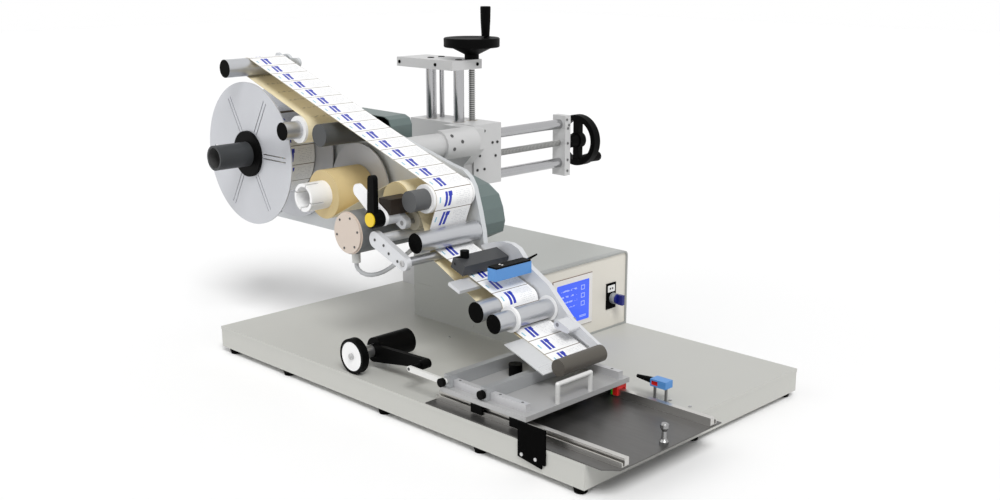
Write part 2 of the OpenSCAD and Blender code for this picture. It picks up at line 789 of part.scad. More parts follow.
module end_bolts() color("#9a9a9a") deck() {
  for (p = end_bolt) stick(end_y + p[0], p[1], block_bolt_r, end_x[1], end_x[1] + cap_h);
}
cross_wheel_y = end_y + end_t + cross_wheel_gap;
module cross_screw() color("#a6a6a6") deck() translate([cross_x, 0, cross_screw_z]) rotate([-90, 0, 0]) {
  translate([0, 0, bracket_y[1] + gap])
    thread(cross_core_r, cross_thread_r, end_y - 2*gap - bracket_y[1], pitch);
  translate([0, 0, bracket_y[0] + screw_seat]) cylinder(h = bracket_t - screw_seat + gap, r = cross_core_r);
  translate([0, 0, end_y - gap]) cylinder(h = cross_wheel_y - end_y, r = cross_core_r);
}
module cross_wheel() color("#0c0c0c") deck()
  translate([cross_x, cross_wheel_y, cross_screw_z]) rotate([-90, 0, 0]) {
    difference() {
      union() {
        difference() {
          cylinder(h = rim_h, r = wheel_r - cross_rim_less);
          translate([0, 0, -cut]) cylinder(h = rim_h + 2*cut, r = wheel_r - rim_w);
        }
        cylinder(h = rim_h - cross_hub_less, r = hub_neck_r + cross_hub_over);
        translate([-spoke_w/2, -wheel_r + rim_w - spoke_in, spoke_in])
          cube([spoke_w, 2*(wheel_r - rim_w + spoke_in), rim_h - spoke_less]);
        translate([0, 0, gap - cross_wheel_gap]) cylinder(h = cross_wheel_gap, r = hub_neck_r);
      }
      translate([0, 0, -wheel_bore_l]) cylinder(h = wheel_bore_l - gap, r = cross_core_r);
    }
    translate([0, grip_at_r, rim_h - cross_pin_in]) cylinder(h = grip_l - grip_end, r = grip_pin_r);
  }
module cross_grip() color("#0c0c0c") deck()
  translate([cross_x, cross_wheel_y + rim_h + gap, cross_screw_z - grip_at_r])
    rotate([-90, 0, 0]) grip_body();

// Head plate with its tube, covers and axle pins
roller_pins = [idler_at, feed_at, silver_at, nip_at, drive_at];
module head_plate_main() color("#c6cacb") deck() difference() {
  along(plate_y, plate_far) polygon(plate_pts);
  for (p = [unwind_at, rewind_at]) bar(p, axle_big_r, plate_y - cut, plate_far + cut);
  for (p = roller_pins) bar(p, axle_r, plate_y - cut, plate_far + cut);
  bar(small_at, small_pin_r, plate_y - cut, plate_far + cut);
  bar(dancer_pivot, axle_r, plate_y - cut, plate_far + cut);
}
module support_tube() color("#cfd1d2") deck() tube(tube_at, tube_r, tube_in_r, plate_far, bracket_y[0] - gap);
module cover_shell(pts, inner) difference() {
  along(plate_far, plate_far + cover_d) polygon(pts);
  along(plate_far - cut, plate_far + cover_d - cover_rear_t) polygon(inner);
}
function mid(pts) = let (n = len(pts)) [for (k = [0, 1]) [for (p = pts) p[k]] * [for (p = pts) 1/n]];
function shrink(pts) = [for (p = pts) mid(pts) + (p - mid(pts)) * 0.965];
module rear_cover_left() color("#5d6b68") deck() cover_shell(cover1_pts, shrink(cover1_pts));
module rear_cover_right() color("#5d6b68") deck() cover_shell(cover2_pts, shrink(cover2_pts));
module axle_pins_main() color("#8d8d8d") deck() {
  bar(idler_at, axle_r, idler_pin_y, plate_far);
  bar(feed_at, axle_r, feed_pin_y, plate_far);
  bar(silver_at, axle_r, silver_pin_y, plate_far);
  bar(nip_at, axle_r, clamp_y[0], plate_far);
  bar(drive_at, axle_r, clamp_y[0], plate_far);
  bar(small_at, small_pin_r, arm_y[1] + gap, plate_far);
  bar(low1_at, axle_r, low_pin_y[0], peel_arm_y[1]);
  bar(low2_at, axle_r, low_pin_y[1], peel_arm_y[1]);
  bar(dancer_pivot, axle_r, arm_pin_y, plate_far);
  bar(apply_pivot, apply_pin_r, apply_pin_y, peel_arm_y[1]);
}

// Unwinder
module unwind_axle() color("#8d8d8d") deck() bar(unwind_at, axle_big_r, big_axle_y, plate_far);
module bearings(p, ro) for (y = bearing_y)
  tube(p, ro, axle_big_r + run, y, y + bearing_w);
module unwind_bearings() color("#777777") deck() bearings(unwind_at, spindle_in_r + seat);
module unwind_spindle_main() color("#4b4d50") deck()
  tube(unwind_at, spindle_r, spindle_in_r, spindle_y, spindle_far);
module slots(p, y0, y1) for (i = [0:slot_n - 1]) for (s = [-1, 1])
  translate([p[0], 0, p[1]]) rotate([0, slot_from + 360*i/slot_n, 0])
    translate([-slot_w/2 + s*slot_step, y0, slot_r0])
    cube([slot_w, y1 - y0, slot_r1 - slot_r0]);
module unwind_flanges() color("#cfd0d2") deck() {
  difference() {
    tube(unwind_at, disc_r, spindle_r - seat, flange_y, flange_y + flange_t);
    slots(unwind_at, flange_y - cut, flange_y + flange_t + cut);
  }
  tube(unwind_at, disc_r, spindle_r - seat, back_disc_y, spindle_far);
}
module unwind_hub() color("#141414") deck()
  tube(unwind_at, hub_ring_r, spindle_r - seat, flange_y - hub_ring_t, flange_y);
module label_roll() color("#efe9dc") deck() tube(unwind_at, roll_r, spindle_r, web_y, web_far);

// Rewinder
module rewind_axle() color("#8d8d8d") deck() bar(rewind_at, axle_big_r, big_axle_y, plate_far);
module rewind_bearings() color("#777777") deck() bearings(rewind_at, rewind_in_r + seat);
module rewind_spindle_main() color("#f2f2f0") deck() difference() {
  tube(rewind_at, rewind_r, rewind_in_r, rewind_y, spindle_far);
  for (a = [0, 90, 180, 270]) translate([rewind_at[0], 0, rewind_at[1]]) rotate([0, a + rewind_slot_turn, 0])
    translate([-rewind_slot_w/2, rewind_y - cut, rewind_in_r - rewind_slot_over])
      cube([rewind_slot_w, rewind_slot_l, rewind_r - rewind_in_r + 2*rewind_slot_over]);
}
module rewind_disc() color("#b9bcbd") deck()
  tube(rewind_at, rewind_disc_r, rewind_r - seat, back_disc_y, spindle_far);
module liner_roll() color("#dcc793") deck() tube(rewind_at, liner_r, rewind_r, web_y, web_far);

// Rollers
module dancer_arm() color("#c9cccd") deck() difference() {
  union() {
    along(dancer_arm_y[0], dancer_arm_y[1]) difference() {
      union() {
        link(dancer_at, dancer_pivot, dancer_arm_r[0], dancer_arm_r[1]);
        for (i = [0, 1]) link(dancer_at, dancer_at + dancer_ear[i], dancer_ear_r[i][0], dancer_ear_r[i][1]);
      }
      translate(dancer_pivot) circle(r = bore_r);
    }
    bar(dancer_at, axle_r, dancer_pin_y, dancer_arm_y[0]);
  }
}
module roller(p, r, y0, y1, hole) difference() {
  bar(p, r, y0, y1);
  bar(p, hole, y0 + cap_t, y1 + cut);
}
module dancer_roller() color("#c4c6c8") deck() roller(dancer_at, roller_r, dancer_y[0], dancer_y[1], bore_r);
module stepped(p, r1, r2, y) difference() {
  union() {
    bar(p, r1, y[0], y[1]);
    bar(p, r2, y[1], y[2]);
  }
  bar(p, bore_r, y[0] + cap_t, y[2] + cut);
}
module idler_roller() color("#d8d8d8") deck() stepped(idler_at, idler_tube_r, sleeve_r, idler_y);
module guide_bar() color("#3f4244") deck() bar(bar_c_at, bar_c_r, bar_c_y, plate_y);
module feed_roller() color("#e8e8e8") deck() stepped(feed_at, feed_tube_r, feed_sleeve_r, feed_y);
module silver_roller() color("#c4c6c8") deck() roller(silver_at, roller_r, silver_y[0], silver_y[1], bore_r);
module small_roller() color("#c4c6c8") deck()
  tube(small_at, small_r, small_pin_r + run_wide, small_y[0], small_y[1]);
module nip_roller() color("#d9cdb4") deck() tube(nip_at, nip_r, bore_r, nip_y[0], nip_y[1]);
module drive_roller() color("#cdb98a") deck() tube(drive_at, drive_r, bore_r, drive_y[0], drive_y[1]);
module lower_roller() color("#c4c6c8") deck() roller(low1_at, roller_r, near_y, low_far, bore_r);
module collar_roller() color("#c4c6c8") deck() difference() {
  union() {
    bar(low2_at, low2_r, collar_y[0], low_far);
    bar(low2_at, collar2_r, collar_y[1], collar_y[2]);
    bar(low2_at, collar2_r, web_far + gap, low_far);
  }
  bar(low2_at, bore_r, collar_y[0] + cap_t - cut, low_far + cut);
}

// Motor with gland and cable
module motor_main() color("#b9bcbe") deck() difference() {
  union() {
    bar(motor_at, motor_r, motor_y + motor_cap_t, plate_y);
    bar(motor_at, motor_cap_r, motor_y, motor_y + motor_cap_t);
  }
}
module motor_gland() color("#d5d5d2") deck() post(gland_at, gland_r, gland_z[0], gland_z[1] - gland_tip);
cable_pts = [[333, 122, 184], [333, 122.5, 176], [336, 124, 169], [343, 127, 163], [353, 131, 160],
  [364, 136, 160], [375, 143, 163], [385, 151, 168], [393, 160, 175], [399, 170, 183], [403, 181, 191],
  [405, 193, 199], [406, 206, 206], [406, 220, 212], [405, 235, 217], [403, 250, 220], [400, 266, 221],
  [397, 282, 221], [395, 299.8, 221]];
cable_n = 10;
function way(i) = unit(cable_pts[min(i + 1, len(cable_pts) - 1)] - cable_pts[max(i - 1, 0)]);
function side1(i) = unit(cross(way(i), [0.3, -0.5, 0.81]));
module motor_cable() color("#b4b6b8") deck() polyhedron(
  points = [for (i = [0:len(cable_pts) - 1]) for (k = [0:cable_n - 1])
    let (a = 360*k/cable_n, s = side1(i), t = cross(way(i), s))
    cable_pts[i] + cable_r*(s*cos(a) + t*sin(a))],
  faces = concat([[for (k = [cable_n - 1:-1:0]) k]],
    [for (i = [0:len(cable_pts) - 2]) for (k = [0:cable_n - 1])
      let (j = (k + 1) % cable_n, b = i*cable_n) [b + k, b + j, b + cable_n + j, b + cable_n + k]],
    [[for (k = [0:cable_n - 1]) (len(cable_pts) - 1)*cable_n + k]]));

// Clamp lever, bars and guide block in front of the rollers
module clamp_bar() color("#f1f2f4") deck() difference() {
  union() {
    along(front_bar_y[0], front_bar_y[1])
      link(front_bar_tip, lever_at, front_bar_r, front_bar_r + front_bar_over);
    bar(lever_at, clamp_r, front_bar_y[1], clamp_y[1]);
    along(clamp_y[0], clamp_y[1]) link(drive_at, nip_at, clamp_link_r[0], clamp_link_r[1]);
    slab([guide_block[0], guide_block[1]], [guide_block[4], guide_block[5]],
      [guide_block[2], guide_block[3]]);
  }
  bar(lever_at, axle_r + run, lever_y, clamp_y[1] - lever_pin_in[0]);
  for (p = [drive_at, nip_at]) bar(p, axle_r, clamp_y[0] - cut, guide_block[5] + cut);
}
module lower_arm() color("#c3c7ca") deck() {
  along(arm_y[0], arm_y[1]) link(low_arm_from, small_at, low_arm_r, low_arm_r - low_arm_less);
  bar(low_arm_from, spacer_r, arm_y[1], plate_y);
}
module clamp_lever() color("#111111") deck() {
  bar(lever_at, lever_hub_r, lever_y + lever_cap_t, front_bar_y[0] - gap);
  bar(lever_at, lever_cap_r, lever_y, lever_y + lever_cap_t);
  bar(lever_at, axle_r, front_bar_y[0] - gap, clamp_y[1] - lever_pin_in[1]);
  along(lever_y + lever_cap_t, lever_y + lever_arm_d)
    link(lever_at, lever_at + [lever_lean, lever_up], lever_w + lever_root, lever_w);
}

// Peel arm and the parts on it
module peel_arm() color("#dde0e3") deck() difference() {
  along(peel_arm_y[0], peel_arm_y[1]) polygon(peel_arm_pts);
  for (p = [low1_at, low2_at]) bar(p, axle_r, peel_arm_y[0] - cut, peel_arm_y[1] + cut);
  bar(apply_pivot, apply_pin_r, peel_arm_y[0] - cut, peel_arm_y[1] + cut);
}
peel_run = head(label_path[len(label_path) - 2], label_path[len(label_path) - 1]);
peel_dir = [cos(peel_run), sin(peel_run)];
module peel_sheet() color("#c9cbce") deck() along(near_y, peel_arm_y[0])
  link(tip_at, tip_at - peel_dir*peel_l, peel_t/2, peel_t/2);
module sensor_bed() color("#e2e4e6") deck() along(near_y, peel_arm_y[0]) tilt(bed_mid, peel_angle, bed_size);
module label_sensor() color("#4a4c50") deck() difference() {
  union() {
    along(sensor_y[0], sensor_y[1]) tilt(sensor_mid, peel_angle, sensor_size);
    along(sensor_y[0] + sensor_step, peel_arm_y[0])
      tilt(sensor_mid + sensor_nose_at, peel_angle, sensor_nose);
  }
  bar(sensor_mid + sensor_hole_at, sensor_hole_r, sensor_y[0] - cut, sensor_y[0] + sensor_hole_d);
}
module sensor_knob() color("#111111") deck()
  translate([sensor_knob_at[0], sensor_knob_at[1], sensor_mid[1] + sensor_knob_lift])
    cylinder(h = sensor_knob_h, r = sensor_knob_r);
module blue_sensor() color("#3f86c8") deck() {
  along(blue_y[0], peel_arm_y[0]) tilt(blue_mid, 0, blue_size);
  translate([blue_mid[0], blue_lead_y, blue_mid[1] + blue_size[1]/2 - blue_lead_sink])
    rotate([blue_lead_tilt, 0, 0]) lead(blue_lead_l, blue_lead_r);
}
module apply_arm() color("#c3c6c8") deck() difference() {
  union() {
    along(apply_arm_y[0], apply_arm_y[1]) link(apply_pivot, apply_at, apply_arm_r[0], apply_arm_r[1]);
    bar(apply_at, apply_pin_r, apply_axle_y, apply_arm_y[0]);
    along(apply_pin_y, apply_arm_y[0])
      link(apply_pivot, apply_pivot + apply_ear, apply_ear_r[0], apply_ear_r[1]);
  }
  bar(apply_pivot, apply_pin_r + run_wide, apply_pin_y - cut, apply_arm_y[1] + cut);
}
module apply_roller() color("#4d4840") deck()
  roller(apply_at, apply_r, apply_roll_y[0], apply_roll_y[1], apply_pin_r + run_wide);

// Webs of labels and of empty liner
module label_web() color("#f4f4f2") deck() along(web_y, web_far) ribbon(label_path, 14, true);
module liner_web() color("#d8c08a") deck() along(web_y, web_far) ribbon(liner_path, 14, false);

// Carriage
car_end = car_x + carriage_l;
module carriage_plate_main() color("#c9caca") deck() slab([car_x, car_end], car_y, [car_z, car_top]);
module runner(x, y) difference() {
  slab(x, [y - runner_side, y + rail_w + runner_side], [runner_z, car_z]);
  slab([x[0] - cut, x[1] + cut], [y - gap, y + rail_w + gap], [runner_z - cut, drawer_t + rail_h + gap]);
}
module runner_blocks_main() color("#121212") deck() {
  runner(runner_x, rail_near);
  runner(runner_x2, rail_near);
  runner(runner_x, rail_far);
}
module end_buffer() color("#d81e12") deck() runner([buffer_x[1], buffer_x[2]], rail_far);
module buffer_pad() color("#1ea01e") deck() runner([buffer_x[0], buffer_x[1]], rail_far);
module side_strips() color("#cfd0d0") deck() {
  slab([strip_x, strip_near_x], [strip_y[0], strip_y[0] + strip_w], [car_top, car_top + strip_h]);
  slab([strip_x, strip_far_x], [strip_y[1], strip_y[1] + strip_w], [car_top, car_top + strip_h]);
}
module mid_knob() color("#0d0d0d") deck() post(mid_knob, mid_knob_r, car_top, car_top + mid_knob_h);
module bow_handle() color("#e6e6e2") deck() {
  for (y = bow_y) post([bow_x, y], bow_r, car_top, car_top + bow_h - bow_r);
  bar([bow_x, car_top + bow_h - bow_r], bow_r, bow_y[0], bow_y[1]);
  for (y = bow_y) translate([bow_x, y, car_top + bow_h - bow_r]) sphere(r = bow_r);
}
module stop_bar(x) difference() {
  slab([x, x + bar_t], bar_y, [car_top + gap, car_top + bar_h]);
  for (y = strip_y) slab([x - cut, x + bar_t + cut], [y - gap, y + strip_w + gap],
    [car_z, car_top + strip_h + gap]);
}
module stop_bar_left_main() color("#c5c7c9") deck() stop_bar(bar1_x);
module stop_bar_right_main() color("#c5c7c9") deck() stop_bar(bar2_x);
knob1 = [bar1_x + knob_in[0], knob_z];
knob2 = [bar2_x + knob_in[1], knob_z];
module left_bar_knob() color("#0d0d0d") deck() {
  bar(knob1, knob_r, enc_arm_y[0] - gap - knob_l, enc_arm_y[0] - gap);
  bar(knob1, knob_shank_r, enc_arm_y[0] - gap, bar_y[0]);
}
module right_bar_knob() color("#0d0d0d") deck() bar(knob2, knob_r, bar_y[0] - knob_l, bar_y[0]);

// Length encoder with its swing arm
module encoder_arm() color("#e4e4e0") deck() along(enc_arm_y[0], enc_arm_y[1]) difference() {
  link(enc_arm_at, knob1, enc_arm_r, enc_arm_r);
  translate(knob1) circle(r = knob_shank_r + run_wide);
  translate(enc_arm_at) circle(r = enc_hole_r);
}
module encoder_bracket() color("#131313") deck() difference() {
  union() {
    along(enc_plate_y[0], enc_plate_y[1])
      link(wheel_at + enc_plate_at, enc_arm_at, enc_plate_r[0], enc_plate_r[1]);
    bar(enc_arm_at, enc_pin_r, enc_arm_y[1], enc_plate_y[0]);
    bar(enc_arm_at, enc_knob_r, enc_plate_y[0] - enc_knob_l, enc_plate_y[0]);
  }
  bar(wheel_at, enc_hub_r + gap, enc_plate_y[0] - cut, enc_plate_y[1] + cut);
}
module encoder_body_main() color("#101010") deck() difference() {
  union() {
    bar(wheel_at, enc_body_r, enc_body_y[0], enc_body_y[1]);
    bar(wheel_at, enc_boss_r, enc_body_y[1], enc_body_y[1] + enc_boss_l);
  }
  bar(wheel_at, axle_r + run, enc_body_y[0] - cut, enc_body_y[0] + enc_bore_d);
}
module encoder_shaft() color("#b9babb") deck() {
  bar(wheel_at, axle_r, enc_y + enc_disc_in, enc_body_y[0] + enc_shaft_in);
  tube(wheel_at, enc_hub_r, axle_r, enc_y + enc_w, enc_body_y[0] - gap);
}
module encoder_wheel_main() color("#f0f0f0") deck()
  tube(wheel_at, disc_enc_r, axle_r, enc_y + enc_disc_in, enc_y + enc_w);
module encoder_tyre() color("#121212") deck() tube(wheel_at, tyre_r, disc_enc_r, enc_y, enc_y + enc_w);

// Nodes made of more than one piece of the same body
module base_tray() {
  base_tray_main();
  bottom_cover();
}
module drawer_rails() {
  near_rail();
  far_rail();
}
module base_fittings() {
  stop_pin();
  base_screws();
  column_bolts();
  photocell_posts();
}
module black_plates() {
  side_plate();
  switch_plate();
  power_inlet();
}
module photocell() {
  photocell_main();
  photocell_lead();
}
module box_electronics() {
  drive_unit();
  power_supply();
}
module column_plates() {
  column_foot();
  top_plate();
}
module column_rods() {
  guide_rods();
  steady_rod();
}
module slide_block() {
  slide_block_main();
  block_bolts();
}
module block_bushes() {
  block_bushes_main();
  block_nuts();
}
module cross_rods() {
  cross_rods_main();
  end_plate();
  end_bolts();
}
module head_plate() {
  head_plate_main();
  support_tube();
}
module rear_covers() {
  rear_cover_left();
  rear_cover_right();
}
module axle_pins() {
  axle_pins_main();
  unwind_axle();
  rewind_axle();
}
module unwind_spindle() {
  unwind_spindle_main();
  unwind_bearings();
  unwind_hub();
  unwind_flanges();
}
module rewind_spindle() {
  rewind_spindle_main();
  rewind_bearings();
  rewind_disc();
}
module guide_bars() {
  guide_bar();
}
module motor() {
  motor_main();
  motor_gland();
}
module front_arms() {
  clamp_bar();
  lower_arm();
}
module sensors() {
  sensor_bed();
  label_sensor();
  sensor_knob();
  blue_sensor();
}
module carriage_plate() {
  carriage_plate_main();
  side_strips();
  bow_handle();
}
module runner_blocks() {
  runner_blocks_main();
  end_buffer();
  buffer_pad();
  mid_knob();
}
module stop_bar_left() {
  stop_bar_left_main();
  left_bar_knob();
}
module stop_bar_right() {
  stop_bar_right_main();
  right_bar_knob();
}
module encoder_body() {
  encoder_arm();
  encoder_bracket();
  encoder_body_main();
}
module encoder_wheel() {
  encoder_shaft();
  encoder_wheel_main();
  encoder_tyre();
}

base_tray();
rubber_feet();
drawer_plate();
drawer_rails();
base_fittings();
black_plates();
photocell();
box_cover();
box_frame();
front_panel();
display();
box_electronics();
switch_knob();
column_plates();
column_rods();
height_screw();
height_wheel();
height_grip();
slide_block();
block_bushes();
cross_bracket();
cross_rods();
cross_screw();
cross_wheel();
cross_grip();
head_plate();
rear_covers();
axle_pins();
unwind_spindle();
label_roll();
rewind_spindle();
liner_roll();
dancer_arm();
dancer_roller();
idler_roller();
guide_bars();
feed_roller();
silver_roller();
small_roller();
nip_roller();
drive_roller();
lower_roller();
collar_roller();
motor();
motor_cable();
front_arms();
clamp_lever();
peel_arm();
peel_sheet();
sensors();
apply_arm();
apply_roller();
label_web();
liner_web();
carriage_plate();
runner_blocks();
stop_bar_left();
stop_bar_right();
encoder_body();
encoder_wheel();
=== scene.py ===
"""Looks of a bench labeling machine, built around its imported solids."""

import math

import bpy
import numpy as np
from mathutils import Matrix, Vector


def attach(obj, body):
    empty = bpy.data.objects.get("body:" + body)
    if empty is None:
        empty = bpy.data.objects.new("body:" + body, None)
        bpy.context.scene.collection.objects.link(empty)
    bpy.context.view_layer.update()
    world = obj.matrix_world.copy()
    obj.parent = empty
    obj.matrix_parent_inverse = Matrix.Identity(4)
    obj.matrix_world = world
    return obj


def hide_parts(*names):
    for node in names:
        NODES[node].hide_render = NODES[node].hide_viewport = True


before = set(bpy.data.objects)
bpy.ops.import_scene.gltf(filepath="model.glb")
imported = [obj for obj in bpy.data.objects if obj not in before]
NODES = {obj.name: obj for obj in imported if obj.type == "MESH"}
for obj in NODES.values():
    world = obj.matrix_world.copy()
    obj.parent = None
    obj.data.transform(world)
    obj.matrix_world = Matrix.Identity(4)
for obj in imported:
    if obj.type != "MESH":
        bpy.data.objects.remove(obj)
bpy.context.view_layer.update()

bl_info = {
    "name": "Bench labeling machine",
    "version": (1, 0, 0),
    "blender": (4, 5, 0),
    "location": "3D View > Sidebar > Labeler",
    "description": "Finishes, labels, screen and small fittings of a bench labeling machine",
    "category": "Object",
}

# Tray corner in the part's frame, in metres; places on the machine are millimetres from it
TRAY_CORNER = np.array((-0.530, -0.325, 0.058))
MM = 0.001

# Farther than any face
FAR = 1e4

# Camera of the photograph: place in metres, turn and dip of its view, lens, shift and width of its film,
# and how far it sees
EYE = (1.6837, -1.6952, 0.8580)
TURN = math.radians(44.578)
DIP = math.radians(13.808)
LENS = 42.91
SHIFT = 0.002
FILM = 36
REACH = 100

# Floor: half its side in metres, and its points along one side
FLOOR_HALF = 12
FLOOR_POINTS = 9

# Strength of the even light from all sides; the camera itself sees plain white behind the machine
AMBIENT = 0.50

# Soft suns: name, strength, angle in degrees, aim
SUNS = (("Key", 1.95, 26, (-0.62, 0.42, -0.95)), ("Fill", 0.45, 60, (0.7, 0.9, -0.5)))

# Axes along Y of rolls, rollers and other round pieces, as x and z
UNWIND = (-115.0, 353.5)
REWIND = (146.0, 292.0)
IDLER = (69.0, 427.0)
DANCER = (-125.0, 551.0)
FEED = (482.0, 330.0)
SILVER = (505.0, 251.0)
LOWER = (672.0, 145.0)
COLLARED = (718.0, 131.8)
PEEL_TIP = (844.0, 64.0)
SMALL = (503.0, 216.0)
NIP = (446.0, 280.0)
DRIVE = (393.0, 311.0)
MOTOR = (333.0, 249.0)
LEVER = (424.0, 293.0)
TUBE = (270.0, 387.0)
WHEEL = (452.0, 35.7)

# Radii that the web runs on
ROLL_R = 100.0
LINER_R = 54.0
ROLLER_R = 20.5
SLEEVE_R = 30.0
FEED_R = 29.2
COLLARED_R = 19.0
PEEL_R = 1.0
SMALL_R = 9.0
NIP_R = 19.4
DRIVE_R = 40.8

# Web: distance of its middle from what it runs on, half its thickness, and its edges along Y
WEB_RIDE = 0.6
WEB_HALF = 0.2
WEB_NEAR, WEB_FAR = 185.0, 285.0

# Steps of a web on each roller and round a full roll, and even stations along each web and each label
ARC_STEPS = 14
ROLL_STEPS = 120
LABEL_STATIONS = 240
LINER_STATIONS = 160
ONE_LABEL_STATIONS = 13

# How far before the tip of the peel sheet the label row ends, with its last half gap
FIRST_LABEL_IN = 1.0


def on_web(axis, radius, sense):
    """Where the web runs round an axis: x, z, radius of its middle and sense of turn."""
    return (*axis, radius + WEB_RIDE, sense)


LABEL_RUN = (on_web(UNWIND, ROLL_R, -1), on_web(IDLER, SLEEVE_R, 1), on_web(DANCER, ROLLER_R, -1),
             on_web(FEED, FEED_R, -1), on_web(SILVER, ROLLER_R, 1), on_web(LOWER, ROLLER_R, -1),
             on_web(COLLARED, COLLARED_R, 1), on_web(PEEL_TIP, PEEL_R, -1))
LINER_RUN = (on_web(COLLARED, COLLARED_R, 1), on_web(PEEL_TIP, PEEL_R, -1), on_web(LOWER, ROLLER_R, -1),
             on_web(SMALL, SMALL_R, -1), on_web(NIP, NIP_R, 1), on_web(DRIVE, DRIVE_R, 1),
             on_web(REWIND, LINER_R, -1))

# Print on a label, as shares of it: low and high along it, near and far across it, lean
INK_BARS = ((0.12, 0.86, 0.26, 0.325, 0.05), (0.30, 0.84, 0.36, 0.43, 0.05), (0.12, 0.34, 0.345, 0.45, 0.05))
PALE_MARK = (0.34, 0.62, 0.09, 0.125, 0.03)
FINE_PRINT = (0.10, 0.90, 0.54, 0.93)
FINE_ROWS = 11.0
FINE_ROW_FROM = 0.62
WORD_SCALE = 24.0
WORD_FROM = 0.47
FINE_STRENGTH = 0.42
PALE_STRENGTH = 0.75
PAPER_WHITE = (0.95, 0.95, 0.945)
FINE_GREY = (0.34, 0.35, 0.40)
PALE_BLUE = (0.03, 0.42, 0.60)

# Marks that show through the backing paper, as shares of one label
THROUGH_MARK = (0.38, 0.52, 0.22, 0.78)
THROUGH_SCALE = 14.0
THROUGH_FROM = 0.52
THROUGH_DARK = 0.32
THROUGH_UNDER_LABELS = 0.55
THROUGH_BARE = 0.12

# Rings on the side of a wound roll: radians of their sine per metre, and the shade of a dark ring
RINGS = 2600.0
RING_DARK = 0.86

# Thread painted in light and shade on a plain shaft: pitch in metres, colour, where in one pitch its crest
# with its painted highlight lies, and the painted shade of its root
THREAD_PITCH = 0.005
THREAD_STEEL = (0.62, 0.62, 0.61)
CREST = 0.575
ROOT_PAINTED_SHADE = 0.12

# Where the thread of the height screw begins along Z, and that of the cross screw along Y
HEIGHT_THREAD_Z = 60.3
CROSS_THREAD_Y = 540.3

# Control box front: its face along X, and the glass, outline and legend as ranges of y and z, each with
# the radius of its corners, how far it stands out and its thickness
BOX_FACE_X = 623.0
GLASS_Y, GLASS_Z, GLASS_ROUND = (417, 520), (41, 129), 1.5
GLASS_UP, GLASS_T = 2.2, 0.5
OUTLINE_Y, OUTLINE_Z, OUTLINE_ROUND = (405.0, 532.0), (29.0, 141.0), 1.0
OUTLINE_IN_Y, OUTLINE_IN_Z, OUTLINE_IN_ROUND = (406.1, 530.9), (30.1, 139.9), 0.5
OUTLINE_T = 1.4
LEGEND_Y, LEGEND_Z, LEGEND_ROUND = (584, 608), (83, 98), 1.2
LEGEND_UP, LEGEND_T = 2, 0.4
LEGEND_BARS_Y = (590.0, 597.5)
LEGEND_BAR_L, LEGEND_BAR_Z, LEGEND_BAR_ROUND, LEGEND_BAR_T = 4.5, (88.5, 92.5), 0.6, 0.2

# What the screen shows, as shares of the glass: a block of rows, small open boxes and their line
SCREEN_ROWS = (0.12, 0.62, 0.40, 0.86)
SCREEN_BOXES = ((0.74, 0.86, 0.76, 0.88), (0.74, 0.86, 0.56, 0.68), (0.74, 0.86, 0.36, 0.48),
                (0.70, 0.90, 0.08, 0.13))
SCREEN_LINE = 0.02
SCREEN_ROW_COUNT = 7.0
SCREEN_ROW_FROM = 0.72
SCREEN_WORD_SCALE = 16.0
SCREEN_WORD_FROM = 0.52
SCREEN_FADE = 1.15
SCREEN_PRINT = 0.40
SCREEN_PALE = (0.62, 0.72, 0.98)
SCREEN_GLOW = 0.45

# End of one runner: where its green and its red begin along X, its colours and its glow
GREEN_FROM, RED_FROM = 894.0, 898.0
END_DARK = (0.0015, 0.0015, 0.0015)
END_GREEN = (0.02, 0.42, 0.02)
END_RED = (0.50, 0.010, 0.008)
END_GLOW = 0.15

# Surface of every finish: height of its relief in metres, middle of its noise, scale of its slow clouds,
# how much more they change the roughness than the colour, and roughness of a coat
RELIEF = 0.0004
NOISE_MIDDLE = 0.5
CLOUD_SCALE = 9.0
CLOUD_ON_ROUGH = 2.0
COAT_ROUGH = 0.15

